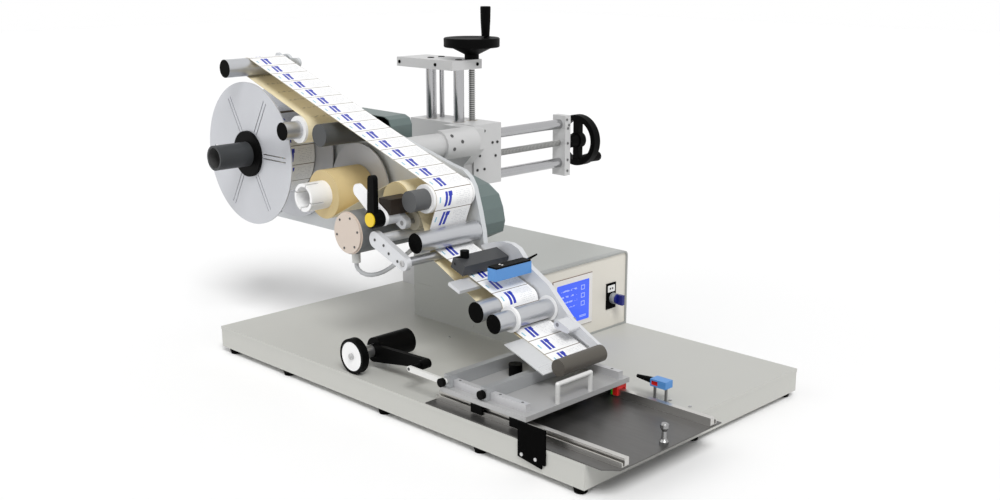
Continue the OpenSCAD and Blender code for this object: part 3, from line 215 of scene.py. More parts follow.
# Finishes: a colour or the setting that gives it, and what differs from a plain moulded surface
FINISHES = {
    "floor_white": dict(colour=(0.975, 0.975, 0.975), rough=0.75, scale=2.0, grain=0.0, clouds=0.0,
        bump=0.0),
    "zinc_rail": dict(colour=(0.56, 0.55, 0.53), rough=0.30, metal=1.0, scale=240, grain=0.25,
        clouds=0.18, bump=0.1, streak=(0.05, 1, 1)),
    "alloy_block": dict(setting="alloy_colour", rough=0.42, metal=0.15, scale=700, grain=0.06,
        clouds=0.06, bump=0.08),
    "polished_steel": dict(colour=(0.42, 0.42, 0.43), rough=0.16, metal=1.0, scale=300, grain=0.04,
        clouds=0.05, bump=0.0),
    "black_plate": dict(colour=(0.001, 0.001, 0.001), rough=0.55, grain=0.2, clouds=0.1, bump=0.1,
        shine=0.02),
    "black_moulding": dict(colour=(0.0015, 0.0015, 0.0015), scale=900, grain=0.3, clouds=0.1,
        bump=0.3, shine=0.05),
    "tray_coat": dict(setting="tray_colour", scale=1400, grain=0.10, clouds=0.05, bump=0.25),
    "foot_rubber": dict(colour=(0.002, 0.002, 0.002), rough=0.8, scale=900, grain=0.3, clouds=0.1,
        bump=0.4, shine=0.03),
    "drawer_steel": dict(colour=(0.105, 0.103, 0.100), rough=0.30, metal=0.85, scale=160, grain=0.35,
        clouds=0.9, bump=0.1, streak=(0.12, 1, 1)),
    "pale_screw": dict(colour=(0.60, 0.60, 0.60), rough=0.35, metal=0.7),
    "dull_steel": dict(colour=(0.26, 0.26, 0.26), rough=0.4, metal=0.8),
    # Chrome of the stop pin, darkened to paint the dark reflections that it shows
    "pin_steel": dict(colour=(0.30, 0.30, 0.30), rough=0.2, metal=0.95),
    "collar_grey": dict(colour=(0.36, 0.38, 0.40), rough=0.4, metal=0.3),
    "sensor_blue": dict(setting="sensor_colour", rough=0.4, scale=900, clouds=0.06, bump=0.2),
    "cell_window": dict(colour=(0.55, 0.008, 0.006), rough=0.2, grain=0.05, clouds=0.05, bump=0.0,
        coat=0.5),
    "box_coat": dict(setting="box_colour", rough=0.42, scale=1100, grain=0.10, bump=0.25),
    "frame_silver": dict(colour=(0.36, 0.37, 0.36), rough=0.35, metal=0.25, scale=700, clouds=0.06,
        bump=0.1),
    "panel_coat": dict(setting="panel_colour", rough=0.35, scale=900, grain=0.03, clouds=0.04,
        bump=0.1),
    "bezel_white": dict(colour=(0.78, 0.76, 0.74), rough=0.3, scale=900, grain=0.02, clouds=0.03,
        bump=0.05, coat=0.3),
    "drive_case": dict(colour=(0.10, 0.12, 0.13), metal=0.2, scale=400, grain=0.2, clouds=0.1,
        bump=0.2),
    "knob_navy": dict(colour=(0.008, 0.014, 0.17), rough=0.3, scale=700, grain=0.05, clouds=0.05,
        bump=0.05, shine=0.3),
    "screw_black": dict(colour=(0.03, 0.03, 0.03), rough=0.45, metal=0.5),
    "bush_steel": dict(colour=(0.38, 0.34, 0.28), rough=0.35, metal=0.9, grain=0.1, clouds=0.1,
        bump=0.1),
    "screw_grey": dict(colour=(0.16, 0.16, 0.16), rough=0.4, metal=0.7),
    "head_alloy": dict(colour=(0.60, 0.62, 0.635), rough=0.38, metal=0.2, scale=600, grain=0.07,
        bump=0.1),
    "disc_silver": dict(colour=(0.55, 0.56, 0.59), rough=0.34, metal=0.25, grain=0.04, clouds=0.10,
        bump=0.05),
    "roller_silver": dict(colour=(0.50, 0.51, 0.53), rough=0.33, metal=0.75, scale=260, grain=0.12,
        bump=0.1, streak=(1, 0.05, 1)),
    "sleeve_white": dict(colour=(0.86, 0.86, 0.86), rough=0.42, scale=700, grain=0.04, clouds=0.04,
        bump=0.1),
    "end_cap_black": dict(colour=(0.0015, 0.0015, 0.0015), scale=900, grain=0.2, clouds=0.1, bump=0.2,
        shine=0.03),
    "axle_steel": dict(colour=(0.30, 0.30, 0.30), rough=0.35, metal=0.85, grain=0.1, clouds=0.1,
        bump=0.1),
    "arm_silver": dict(colour=(0.66, 0.67, 0.69), rough=0.34, metal=0.25, scale=600, grain=0.05,
        clouds=0.06, bump=0.08),
    "cover_coat": dict(setting="cover_colour", rough=0.42, scale=1200, grain=0.12, clouds=0.10,
        bump=0.3),
    "spindle_dark": dict(colour=(0.050, 0.053, 0.056), rough=0.45, metal=0.2, grain=0.1, shine=0.2),
    "guide_rubber": dict(colour=(0.055, 0.058, 0.060), rough=0.6, grain=0.12, clouds=0.1, bump=0.2),
    "feed_grey": dict(colour=(0.085, 0.088, 0.09), metal=0.1, scale=600),
    "nip_rubber": dict(colour=(0.52, 0.42, 0.22), rough=0.6, grain=0.1, clouds=0.1),
    "nip_sleeve": dict(colour=(0.50, 0.46, 0.36), bump=0.1),
    "motor_body": dict(colour=(0.22, 0.23, 0.24), rough=0.4, metal=0.35, bump=0.1),
    "motor_cap": dict(colour=(0.62, 0.53, 0.46), rough=0.42, metal=0.1, grain=0.05, clouds=0.05,
        bump=0.1),
    "gland_pale": dict(colour=(0.62, 0.62, 0.60), rough=0.45),
    "cable_sleeve": dict(colour=(0.46, 0.47, 0.48), scale=900, grain=0.1, bump=0.2),
    "bar_white": dict(colour=(0.87, 0.87, 0.88), rough=0.3, scale=700, grain=0.02, clouds=0.03,
        bump=0.05),
    "guide_brown": dict(colour=(0.022, 0.016, 0.012), scale=600, grain=0.1, clouds=0.1, shine=0.2),
    "cap_yellow": dict(colour=(0.80, 0.56, 0.015), rough=0.35, scale=700, grain=0.05, clouds=0.05,
        bump=0.05),
    "sheet_alloy": dict(colour=(0.66, 0.67, 0.68), rough=0.28, metal=0.6, scale=300, clouds=0.06,
        bump=0.05, streak=(1, 0.1, 1)),
    "sensor_dark": dict(colour=(0.045, 0.047, 0.05), rough=0.42, metal=0.1, scale=700, grain=0.1,
        bump=0.2, shine=0.3),
    "apply_rubber": dict(colour=(0.072, 0.064, 0.052), scale=700, grain=0.1, clouds=0.1),
    "bar_alloy": dict(colour=(0.40, 0.41, 0.42), rough=0.34, metal=0.45, scale=300, grain=0.1,
        clouds=0.06, bump=0.08, streak=(1, 0.06, 1)),
    "carriage_alloy": dict(colour=(0.42, 0.42, 0.42), rough=0.38, metal=0.25, scale=600, grain=0.06,
        bump=0.08),
    "strip_alloy": dict(colour=(0.54, 0.54, 0.55), rough=0.36, metal=0.35, scale=300, clouds=0.05,
        bump=0.08, streak=(0.06, 1, 1)),
    "handle_silver": dict(colour=(0.66, 0.66, 0.65), rough=0.32, metal=0.2, scale=700, grain=0.03,
        clouds=0.03, bump=0.08),
    "arm_white": dict(colour=(0.72, 0.72, 0.70), rough=0.38, metal=0.1, scale=600, grain=0.04,
        clouds=0.04, bump=0.1),
    "wheel_white": dict(colour=(0.84, 0.84, 0.84), rough=0.4, scale=700, grain=0.04, clouds=0.04,
        bump=0.1),
    "label_edge": dict(colour=(0.80, 0.78, 0.72), rough=0.6),
    # Painted shade: the liner between the labels is dark brown, standing in for the shadow that the label
    # edges cast
    "liner_between": dict(colour=(0.13, 0.09, 0.05), rough=0.6, scale=300, grain=0.1, clouds=0.1,
        bump=0.1),
    "outline_brown": dict(colour=(0.16, 0.09, 0.06)),
    "legend_white": dict(colour=(0.80, 0.80, 0.78), rough=0.4),
    "legend_ink": dict(colour=(0.02, 0.02, 0.02)),
    "screw_dark": dict(colour=(0.10, 0.10, 0.10), rough=0.4, metal=0.6),
    "screw_bright": dict(colour=(0.50, 0.50, 0.50), rough=0.3, metal=0.9),
    "lamp_white": dict(colour=(0.85, 0.85, 0.85), rough=0.3),
}


class LabelerLook(bpy.types.PropertyGroup):
    """Sizes and colours of the machine that a user would change."""

    label_pitch: bpy.props.FloatProperty(
        name="Label pitch", description="From one label to the next along the web",
        default=0.044, min=0.02, max=0.1, unit="LENGTH")
    label_gap: bpy.props.FloatProperty(
        name="Label gap", description="Bare liner between two labels",
        default=0.0017, min=0.001, max=0.01, unit="LENGTH")
    label_margin: bpy.props.FloatProperty(
        name="Label margin", description="Bare liner along each edge of the web",
        default=0.0006, min=0.0, max=0.01, unit="LENGTH")
    label_stock: bpy.props.FloatProperty(
        name="Label thickness", description="Thickness of a label on its liner",
        default=0.00014, min=0.00005, max=0.001, unit="LENGTH")
    tray_colour: bpy.props.FloatVectorProperty(
        name="Tray", description="Powder coat of the tray", subtype="COLOR",
        size=3, min=0, max=1, default=(0.50, 0.50, 0.47))
    box_colour: bpy.props.FloatVectorProperty(
        name="Box cover", description="Paint of the control box cover", subtype="COLOR",
        size=3, min=0, max=1, default=(0.43, 0.44, 0.42))
    panel_colour: bpy.props.FloatVectorProperty(
        name="Front panel", description="Paint of the control box front", subtype="COLOR",
        size=3, min=0, max=1, default=(0.72, 0.69, 0.62))
    cover_colour: bpy.props.FloatVectorProperty(
        name="Rear covers", description="Paint of the covers behind the head plate", subtype="COLOR",
        size=3, min=0, max=1, default=(0.115, 0.155, 0.150))
    alloy_colour: bpy.props.FloatVectorProperty(
        name="Alloy", description="Anodised plates and blocks", subtype="COLOR",
        size=3, min=0, max=1, default=(0.56, 0.56, 0.56))
    liner_colour: bpy.props.FloatVectorProperty(
        name="Liner", description="Backing paper", subtype="COLOR",
        size=3, min=0, max=1, default=(0.86, 0.77, 0.54))
    print_colour: bpy.props.FloatVectorProperty(
        name="Label print", description="Ink of the plain bars on the labels", subtype="COLOR",
        size=3, min=0, max=1, default=(0.012, 0.030, 0.42))
    screen_colour: bpy.props.FloatVectorProperty(
        name="Screen", description="Lit screen of the control box", subtype="COLOR",
        size=3, min=0, max=1, default=(0.030, 0.088, 0.70))
    sensor_colour: bpy.props.FloatVectorProperty(
        name="Sensors", description="Housings of the two small sensors", subtype="COLOR",
        size=3, min=0, max=1, default=(0.085, 0.27, 0.62))


def look():
    """The settings as they stand in the scene."""
    return bpy.context.scene.labeler_look


def place(points):
    """Positions in the part's frame, in metres, of points in millimetres from the tray corner."""
    return np.asarray(points, float) * MM + TRAY_CORNER


# Materials


def node_group(name, inputs, outputs):
    """A new shader node group and its input and output nodes, or the finished one and None twice."""
    if name in bpy.data.node_groups:
        return bpy.data.node_groups[name], None, None
    group = bpy.data.node_groups.new(name, "ShaderNodeTree")
    for label, kind, value in inputs:
        socket = group.interface.new_socket(name=label, in_out="INPUT", socket_type=kind)
        if value is not None:
            socket.default_value = value
    for label, kind in outputs:
        group.interface.new_socket(name=label, in_out="OUTPUT", socket_type=kind)
    return group, group.nodes.new("NodeGroupInput"), group.nodes.new("NodeGroupOutput")


def math_node(tree, operation, first, second=None):
    """A Math node whose inputs are numbers or sockets."""
    made = tree.nodes.new("ShaderNodeMath")
    made.operation = operation
    for slot, value in enumerate((first, second)):
        if value is None:
            continue
        if isinstance(value, bpy.types.NodeSocket):
            tree.links.new(value, made.inputs[slot])
        else:
            made.inputs[slot].default_value = value
    return made.outputs[0]


# Sockets of a Mix node that mixes colours
MIX_FACTOR, MIX_A, MIX_B, MIXED = 0, 6, 7, 2


def mix_colour(tree, factor, first, second):
    """The first colour where the factor is zero, the second where it is one; inputs may be sockets."""
    made = tree.nodes.new("ShaderNodeMix")
    made.data_type = "RGBA"
    for slot, value in ((MIX_FACTOR, factor), (MIX_A, first), (MIX_B, second)):
        if isinstance(value, bpy.types.NodeSocket):
            tree.links.new(value, made.inputs[slot])
        elif slot == MIX_FACTOR:
            made.inputs[slot].default_value = value
        else:
            made.inputs[slot].default_value = (*value[:3], 1.0)
    return made.outputs[MIXED]


def shaded(colour, factor):
    """A colour made darker or lighter by a factor, with no part above one."""
    return tuple(min(1.0, part * factor) for part in colour)


def split_xyz(tree, vector):
    """The three parts of a vector as sockets."""
    made = tree.nodes.new("ShaderNodeSeparateXYZ")
    tree.links.new(vector, made.inputs[0])
    return made.outputs


def noise_node(tree, vector, scale, detail, rough):
    """The value of a Noise texture whose scale is a number or a socket."""
    made = tree.nodes.new("ShaderNodeTexNoise")
    tree.links.new(vector, made.inputs["Vector"])
    for label, value in (("Scale", scale), ("Detail", detail), ("Roughness", rough)):
        if isinstance(value, bpy.types.NodeSocket):
            tree.links.new(value, made.inputs[label])
        else:
            made.inputs[label].default_value = value
    return made.outputs["Fac"]


def surface_grain():
    """Colour, roughness and height of a surface: fine grain, and slow clouds like handling marks.

    Each is noise about one that the colour is multiplied by; the roughness follows the clouds.
    """
    group, start, end = node_group(
        "SurfaceGrain",
        (("Vector", "NodeSocketVector", None), ("Colour", "NodeSocketColor", None),
         ("Roughness", "NodeSocketFloat", 0.5), ("Grain Scale", "NodeSocketFloat", 400.0),
         ("Grain", "NodeSocketFloat", 0.1), ("Clouds", "NodeSocketFloat", 0.1)),
        (("Colour", "NodeSocketColor"), ("Roughness", "NodeSocketFloat"), ("Height", "NodeSocketFloat")))
    if start is None:
        return group
    fine = noise_node(group, start.outputs["Vector"], start.outputs["Grain Scale"], detail=3.0, rough=0.6)
    slow = noise_node(group, start.outputs["Vector"], CLOUD_SCALE, detail=4.0, rough=0.6)
    fine_part = math_node(group, "MULTIPLY", math_node(group, "SUBTRACT", fine, NOISE_MIDDLE),
                          start.outputs["Grain"])
    slow_part = math_node(group, "MULTIPLY", math_node(group, "SUBTRACT", slow, NOISE_MIDDLE),
                          start.outputs["Clouds"])
    factor = math_node(group, "ADD", math_node(group, "ADD", fine_part, slow_part), 1.0)
    scale = group.nodes.new("ShaderNodeVectorMath")
    scale.operation = "SCALE"
    group.links.new(start.outputs["Colour"], scale.inputs[0])
    group.links.new(factor, scale.inputs["Scale"])
    group.links.new(scale.outputs[0], end.inputs["Colour"])
    rough = math_node(group, "MULTIPLY", start.outputs["Roughness"],
                      math_node(group, "ADD", math_node(group, "MULTIPLY", slow_part, CLOUD_ON_ROUGH), 1.0))
    group.links.new(math_node(group, "MINIMUM", rough, 1.0), end.inputs["Roughness"])
    group.links.new(fine, end.inputs["Height"])
    return group


def print_block():
    """A mask that is one inside a box in two coordinates, sheared across by Lean times the first one."""
    group, start, end = node_group(
        "PrintBlock",
        (("Along", "NodeSocketFloat", 0.0), ("Across", "NodeSocketFloat", 0.0),
         ("Along Low", "NodeSocketFloat", 0.0), ("Along High", "NodeSocketFloat", 1.0),
         ("Across Low", "NodeSocketFloat", 0.0), ("Across High", "NodeSocketFloat", 1.0),
         ("Lean", "NodeSocketFloat", 0.0)),
        (("Mask", "NodeSocketFloat"),))
    if start is None:
        return group
    given = start.outputs
    sheared = math_node(group, "MULTIPLY", given["Along"], given["Lean"])
    across = math_node(group, "ADD", given["Across"], sheared)
    in_length = math_node(group, "MULTIPLY",
                          math_node(group, "GREATER_THAN", given["Along"], given["Along Low"]),
                          math_node(group, "LESS_THAN", given["Along"], given["Along High"]))
    in_width = math_node(group, "MULTIPLY",
                         math_node(group, "GREATER_THAN", across, given["Across Low"]),
                         math_node(group, "LESS_THAN", across, given["Across High"]))
    group.links.new(math_node(group, "MULTIPLY", in_length, in_width), end.inputs["Mask"])
    return group


def block(tree, along, across, low, high, near, far, lean=0.0):
    """The mask of one printed block."""
    made = tree.nodes.new("ShaderNodeGroup")
    made.node_tree = print_block()
    tree.links.new(along, made.inputs["Along"])
    tree.links.new(across, made.inputs["Across"])
    for label, value in (("Along Low", low), ("Along High", high), ("Across Low", near),
                         ("Across High", far), ("Lean", lean)):
        made.inputs[label].default_value = value
    return made.outputs["Mask"]


def blank(name):
    """A new material with a Principled shader, its tree and its object coordinates."""
    material = bpy.data.materials.new(name)
    material.use_nodes = True
    tree = material.node_tree
    shader = tree.nodes["Principled BSDF"]
    coordinates = tree.nodes.new("ShaderNodeTexCoord")
    return material, tree, shader, coordinates


def grained(tree, shader, vector, colour, rough, metal, scale, grain, clouds, bump):
    """Feeds the shader from the grain group; the colour is a tuple or a socket."""
    made = tree.nodes.new("ShaderNodeGroup")
    made.node_tree = surface_grain()
    tree.links.new(vector, made.inputs["Vector"])
    if isinstance(colour, bpy.types.NodeSocket):
        tree.links.new(colour, made.inputs["Colour"])
    else:
        made.inputs["Colour"].default_value = (*colour, 1.0)
    for label, value in (("Roughness", rough), ("Grain Scale", scale), ("Grain", grain), ("Clouds", clouds)):
        made.inputs[label].default_value = value
    tree.links.new(made.outputs["Colour"], shader.inputs["Base Color"])
    tree.links.new(made.outputs["Roughness"], shader.inputs["Roughness"])
    shader.inputs["Metallic"].default_value = metal
    if bump:
        relief = tree.nodes.new("ShaderNodeBump")
        relief.inputs["Strength"].default_value = bump
        relief.inputs["Distance"].default_value = RELIEF
        tree.links.new(made.outputs["Height"], relief.inputs["Height"])
        tree.links.new(relief.outputs["Normal"], shader.inputs["Normal"])


def surface(name, colour, rough=0.5, metal=0.0, scale=500.0, grain=0.08, clouds=0.08, bump=0.15,
            streak=(1, 1, 1), coat=0.0, shine=0.5):
    """A painted, moulded or machined surface; streak stretches its grain along an axis, as brushing does."""
    material, tree, shader, coordinates = blank(name)
    stretch = tree.nodes.new("ShaderNodeMapping")
    stretch.inputs["Scale"].default_value = streak
    tree.links.new(coordinates.outputs["Object"], stretch.inputs["Vector"])
    grained(tree, shader, stretch.outputs[0], colour, rough, metal, scale, grain, clouds, bump)
    shader.inputs["Coat Weight"].default_value = coat
    shader.inputs["Specular IOR Level"].default_value = shine
    shader.inputs["Coat Roughness"].default_value = COAT_ROUGH
    return material


def finish(name):
    """The finish of that name from the table, made once."""
    if name in bpy.data.materials:
        return bpy.data.materials[name]
    values = dict(FINISHES[name])
    if "setting" in values:
        values["colour"] = tuple(getattr(look(), values.pop("setting")))
    return surface(name, **values)


def threaded(name, axis, start, colour=THREAD_STEEL, pitch=THREAD_PITCH):
    """A cut thread painted in light and shade: a painted highlight on the crest and painted shade in the
    root, as a cosine of the pitches passed along the axis.
    """
    if name in bpy.data.materials:
        return bpy.data.materials[name]
    material, tree, shader, coordinates = blank(name)
    fit = tree.nodes.new("ShaderNodeMapping")
    fit.inputs["Scale"].default_value = (1 / pitch,) * 3
    fit.inputs["Location"].default_value = (-start / pitch,) * 3
    tree.links.new(coordinates.outputs["Object"], fit.inputs["Vector"])
    passed = split_xyz(tree, fit.outputs[0])[axis]
    turn = math_node(tree, "MULTIPLY", math_node(tree, "SUBTRACT", passed, CREST), 2 * math.pi)
    painted_crest_light = math_node(tree, "MULTIPLY", math_node(tree, "ADD", math_node(tree, "COSINE", turn), 1.0), 0.5)
    # Painted shade in the root, painted highlight on the crest
    shade = mix_colour(tree, painted_crest_light, shaded(colour, ROOT_PAINTED_SHADE), colour)
    grained(tree, shader, coordinates.outputs["Object"], shade,
            rough=0.35, metal=0.85, scale=500.0, grain=0.1, clouds=0.1, bump=0.0)
    return material


def wound_paper(name, colour, centre):
    """Side of a wound roll: rings, as a sine of the distance from the roll's axis, broken by grain."""
    if name in bpy.data.materials:
        return bpy.data.materials[name]
    material, tree, shader, coordinates = blank(name)
    shift = tree.nodes.new("ShaderNodeMapping")
    x, _, z = place((centre[0], 0, centre[1]))
    shift.inputs["Location"].default_value = (-x, 0, -z)
    tree.links.new(coordinates.outputs["Object"], shift.inputs["Vector"])
    parts = split_xyz(tree, shift.outputs[0])
    squares = [math_node(tree, "POWER", parts[axis], 2.0) for axis in (0, 2)]
    across = math_node(tree, "SQRT", math_node(tree, "ADD", *squares))
    ring = math_node(tree, "SINE", math_node(tree, "MULTIPLY", across, RINGS))
    faint = math_node(tree, "MULTIPLY", math_node(tree, "ADD", ring, 1.0), 0.5)
    shade = mix_colour(tree, faint, shaded(colour, RING_DARK), colour)
    grained(tree, shader, coordinates.outputs["Object"], shade,
            rough=0.72, metal=0.0, scale=700.0, grain=0.08, clouds=0.12, bump=0.1)
    return material


def lit_end(name):
    """Moulded end that is dark, then green, then red from place to place along X."""
    if name in bpy.data.materials:
        return bpy.data.materials[name]
    material, tree, shader, coordinates = blank(name)
    along = split_xyz(tree, coordinates.outputs["Object"])[0]
    green = math_node(tree, "GREATER_THAN", along, place((GREEN_FROM, 0, 0))[0])
    red = math_node(tree, "GREATER_THAN", along, place((RED_FROM, 0, 0))[0])
    shown = mix_colour(tree, red, mix_colour(tree, green, END_DARK, END_GREEN), END_RED)
    grained(tree, shader, coordinates.outputs["Object"], shown,
            rough=0.45, metal=0.0, scale=500.0, grain=0.3, clouds=0.1, bump=0.1)
    tree.links.new(shown, shader.inputs["Emission Color"])
    shader.inputs["Emission Strength"].default_value = END_GLOW
    return material


def label_face(name):
    """Printed label face on the piece's own UV map: plain ink bars, a pale mark and rows of grey lines."""
    if name in bpy.data.materials:
        return bpy.data.materials[name]
    material, tree, shader, coordinates = blank(name)
    along, across, _ = split_xyz(tree, coordinates.outputs["UV"])
    ink = block(tree, along, across, *INK_BARS[0])
    for part in INK_BARS[1:]:
        ink = math_node(tree, "MAXIMUM", ink, block(tree, along, across, *part))
    small = block(tree, along, across, *PALE_MARK)
    turn = math_node(tree, "FRACT", math_node(tree, "MULTIPLY", along, FINE_ROWS))
    rows = math_node(tree, "GREATER_THAN", turn, FINE_ROW_FROM)
    words = noise_node(tree, coordinates.outputs["UV"], WORD_SCALE, detail=1.0, rough=0.5)
    lines = math_node(tree, "MULTIPLY", rows, math_node(tree, "GREATER_THAN", words, WORD_FROM))
    lines = math_node(tree, "MULTIPLY", lines, block(tree, along, across, *FINE_PRINT))
    paper = mix_colour(tree, math_node(tree, "MULTIPLY", lines, FINE_STRENGTH), PAPER_WHITE, FINE_GREY)
    paper = mix_colour(tree, math_node(tree, "MULTIPLY", small, PALE_STRENGTH), paper, PALE_BLUE)
    paper = mix_colour(tree, ink, paper, tuple(look().print_colour))
    grained(tree, shader, coordinates.outputs["Object"], paper,
            rough=0.38, metal=0.0, scale=900.0, grain=0.02, clouds=0.03, bump=0.04)
    return material


def liner_face(name, marks):
    """Backing paper on the piece's own UV map: warm paper with a soft show-through mark at each label."""
    if name in bpy.data.materials:
        return bpy.data.materials[name]
    colour = tuple(look().liner_colour)
    material, tree, shader, coordinates = blank(name)
    run, across, _ = split_xyz(tree, coordinates.outputs["UV"])
    along = math_node(tree, "FRACT", run)
    mark = block(tree, along, across, *THROUGH_MARK)
    cloud = noise_node(tree, coordinates.outputs["UV"], THROUGH_SCALE, detail=3.0, rough=0.6)
    ragged = math_node(tree, "GREATER_THAN", cloud, THROUGH_FROM)
    mark = math_node(tree, "MULTIPLY", math_node(tree, "MULTIPLY", mark, ragged), marks)
    paper = mix_colour(tree, mark, colour, shaded(colour, THROUGH_DARK))
    grained(tree, shader, coordinates.outputs["Object"], paper,
            rough=0.55, metal=0.0, scale=300.0, grain=0.12, clouds=0.22, bump=0.1)
    return material


def screen_face(name):
    """Lit screen in object coordinates: a field that fades from bottom to top, pale rows and open boxes."""
    if name in bpy.data.materials:
        return bpy.data.materials[name]
    colour = tuple(look().screen_colour)
    material, tree, shader, coordinates = blank(name)
    _, y, z = place((0, GLASS_Y[0], GLASS_Z[0]))
    wide, high = (GLASS_Y[1] - GLASS_Y[0]) * MM, (GLASS_Z[1] - GLASS_Z[0]) * MM
    fit = tree.nodes.new("ShaderNodeMapping")
    fit.inputs["Location"].default_value = (0, -y / wide, -z / high)
    fit.inputs["Scale"].default_value = (1, 1 / wide, 1 / high)
    tree.links.new(coordinates.outputs["Object"], fit.inputs["Vector"])
    _, across, up = split_xyz(tree, fit.outputs[0])
    turn = math_node(tree, "FRACT", math_node(tree, "MULTIPLY", up, SCREEN_ROW_COUNT))
    rows = math_node(tree, "GREATER_THAN", turn, SCREEN_ROW_FROM)
    cloud = noise_node(tree, fit.outputs[0], SCREEN_WORD_SCALE, detail=1.0, rough=0.5)
    words = math_node(tree, "GREATER_THAN", cloud, SCREEN_WORD_FROM)
    mask = math_node(tree, "MULTIPLY", math_node(tree, "MULTIPLY", rows, words),
                     block(tree, across, up, *SCREEN_ROWS))
    for part in SCREEN_BOXES:
        inside = [edge + SCREEN_LINE * side for edge, side in zip(part, (1, -1, 1, -1))]
        outer, inner = block(tree, across, up, *part), block(tree, across, up, *inside)
        mask = math_node(tree, "MAXIMUM", mask, math_node(tree, "SUBTRACT", outer, inner))
    field = mix_colour(tree, up, shaded(colour, SCREEN_FADE), colour)
    shown = mix_colour(tree, math_node(tree, "MULTIPLY", mask, SCREEN_PRINT), field, SCREEN_PALE)
    grained(tree, shader, coordinates.outputs["Object"], shown,
            rough=0.22, metal=0.0, scale=900.0, grain=0.02, clouds=0.03, bump=0.0)
    tree.links.new(shown, shader.inputs["Emission Color"])
    shader.inputs["Emission Strength"].default_value = SCREEN_GLOW
    return material


# Choosing faces


def in_box(x=(-FAR, FAR), y=(-FAR, FAR), z=(-FAR, FAR)):
    """A test for faces whose middle lies in a box, in millimetres from the tray corner.

    Every test is given the middles and the normals of all faces, each as rows of x, y and z.
    """
    def test(centre, normal):
        inside = [(middle > low) & (middle < high) for middle, (low, high) in zip(centre, (x, y, z))]
        return np.all(inside, axis=0)
    return test


def in_ring(axis, low, high, y=(-FAR, FAR)):
    """A test for faces whose middle lies between two distances from an axis along Y."""
    def test(centre, normal):
        away = np.hypot(centre[0] - axis[0], centre[2] - axis[1])
        return (away > low) & (away < high) & (centre[1] > y[0]) & (centre[1] < y[1])
    return test


# How nearly a face has to look along an axis to count as one that does
FACING = 0.9


def near_end(limit):
    """A test for the faces of the near end, which look along -Y and lie before the limit."""
    return lambda centre, normal: (normal[1] < -FACING) & (centre[1] < limit)


# Cross slide: where its end plate begins along Y, the rods that pass into it, and how near is on a rod
END_PLATE_FROM = 866.5
CROSS_ROD_X, CROSS_ROD_Z = 225, (289, 387)
ROD_BESIDE, ROD_ABOVE = 12.6, 13


def on_end_plate(centre, normal):
    """A test for the faces of the end plate, without those of the rods where they pass into it."""
    clear = [np.abs(centre[2] - z) > ROD_ABOVE for z in CROSS_ROD_Z]
    off_rods = np.all(clear, axis=0) | (np.abs(centre[0] - CROSS_ROD_X) > ROD_BESIDE)
    return (centre[1] > END_PLATE_FROM) & (off_rods | (np.abs(normal[1]) > FACING))


# Faces that wear a finish of their own, each named for what it belongs to
COLUMN_BOLTS = in_box(z=(400, 900))
BASE_SCREWS = in_box(x=(0, 1050), y=(-20, 300), z=(-40, 3))
CELL_POSTS = in_box(x=(950, 995), y=(300, 330), z=(-1, 27.9))
# Stop pin, whose chrome wears a painted dark reflection
STOP_PIN = in_box(x=(1080, 1115))
SWITCH_COLLAR = in_box(x=(625.1, 640), z=(50, 90))
CELL_WINDOW = in_box(x=(958.9, 973.1), y=(-FAR, 307.2), z=(30.9, 39.1))
CELL_LEAD = in_box(x=(900, 955.9))
BLOCK_BOLTS = in_box(x=(252.05, 260))
COLLAR_SCREWS = in_ring(TUBE, 28.5, 33.2, (420, 505))
END_BOLTS = in_box(x=(246.05, 250))
SUPPORT_TUBE = in_box(y=(312.2, 520))
UNWIND_TUBE = in_ring(UNWIND, 23.6, 28.7)
UNWIND_BORE = in_ring(UNWIND, 0, 23.55)
UNWIND_HUB = in_ring(UNWIND, 28.8, 54, (160, 171.99))
# Face of the wound roll under its labels; it wears the painted shade of the label gaps
ROLL_SURFACE = in_ring(UNWIND, 98, 102, (185.1, 284.9))
BACK_DISC = in_ring(REWIND, 31.05, 102)
REWIND_BORE = in_ring(REWIND, 0, 23.6)
DANCER_PIN = in_box(y=(100, 291.5))
DANCER_END = near_end(126)
IDLER_TUBE = in_ring(IDLER, 5.4, 20.4)
IDLER_END = near_end(138)
FEED_TUBE = in_ring(FEED, 5.4, 21.9)
FEED_END = near_end(140)
SILVER_END = near_end(134)
LOWER_END = near_end(136)
COLLARS = in_ring(COLLARED, 19.3, 26)
COLLAR_FACES = in_ring(COLLARED, 18.5, 26, (177.9, 184.1))
COLLARED_END = near_end(137)
MOTOR_CAP = in_box(y=(90, 105.05), z=(206.3, 320))
MOTOR_GLAND = in_box(z=(150, 204.2))
CLAMP_BAR = in_box(x=(330, 445), y=(112.5, 121.5), z=(272, 360))
GUIDE_BLOCK = in_box(x=(409.9, 446.1), y=(121.6, 180.1), z=(299.9, 331.1))
LEVER_CAP = in_ring(LEVER, 0, 14.05, (80, 88.05))
SENSOR_BED = in_box(x=(590, 632), z=(160, 192))
SENSOR_KNOB = in_box(y=(170, 200), z=(226.9, 245))
BLUE_SENSOR = in_box(x=(649.5, 672.5), y=(187, 289))
SENSOR_LEAD = in_box(x=(655, 667), y=(288.05, 330))
SIDE_STRIPS = in_box(x=(698, 905.2), y=(33.5, 289.5), z=(35.5, 49.5))
BOW_HANDLE = in_box(x=(900, 911), y=(100, 200), z=(35.2, 80))
RUNNER_END = in_box(x=(870, 912), y=(260, 300), z=(0, 24))
BAR_KNOB = in_box(y=(0, 23.9))
ENCODER_ARM = in_box(x=(600, 720), y=(17, 23.72))
TYRE = in_ring(WHEEL, 29.3, 36)
WHEEL_SHAFT = in_ring(WHEEL, 0, 4.9)
WHEEL_COUPLING = in_ring(WHEEL, 0, 12.6, (24.01, 100))

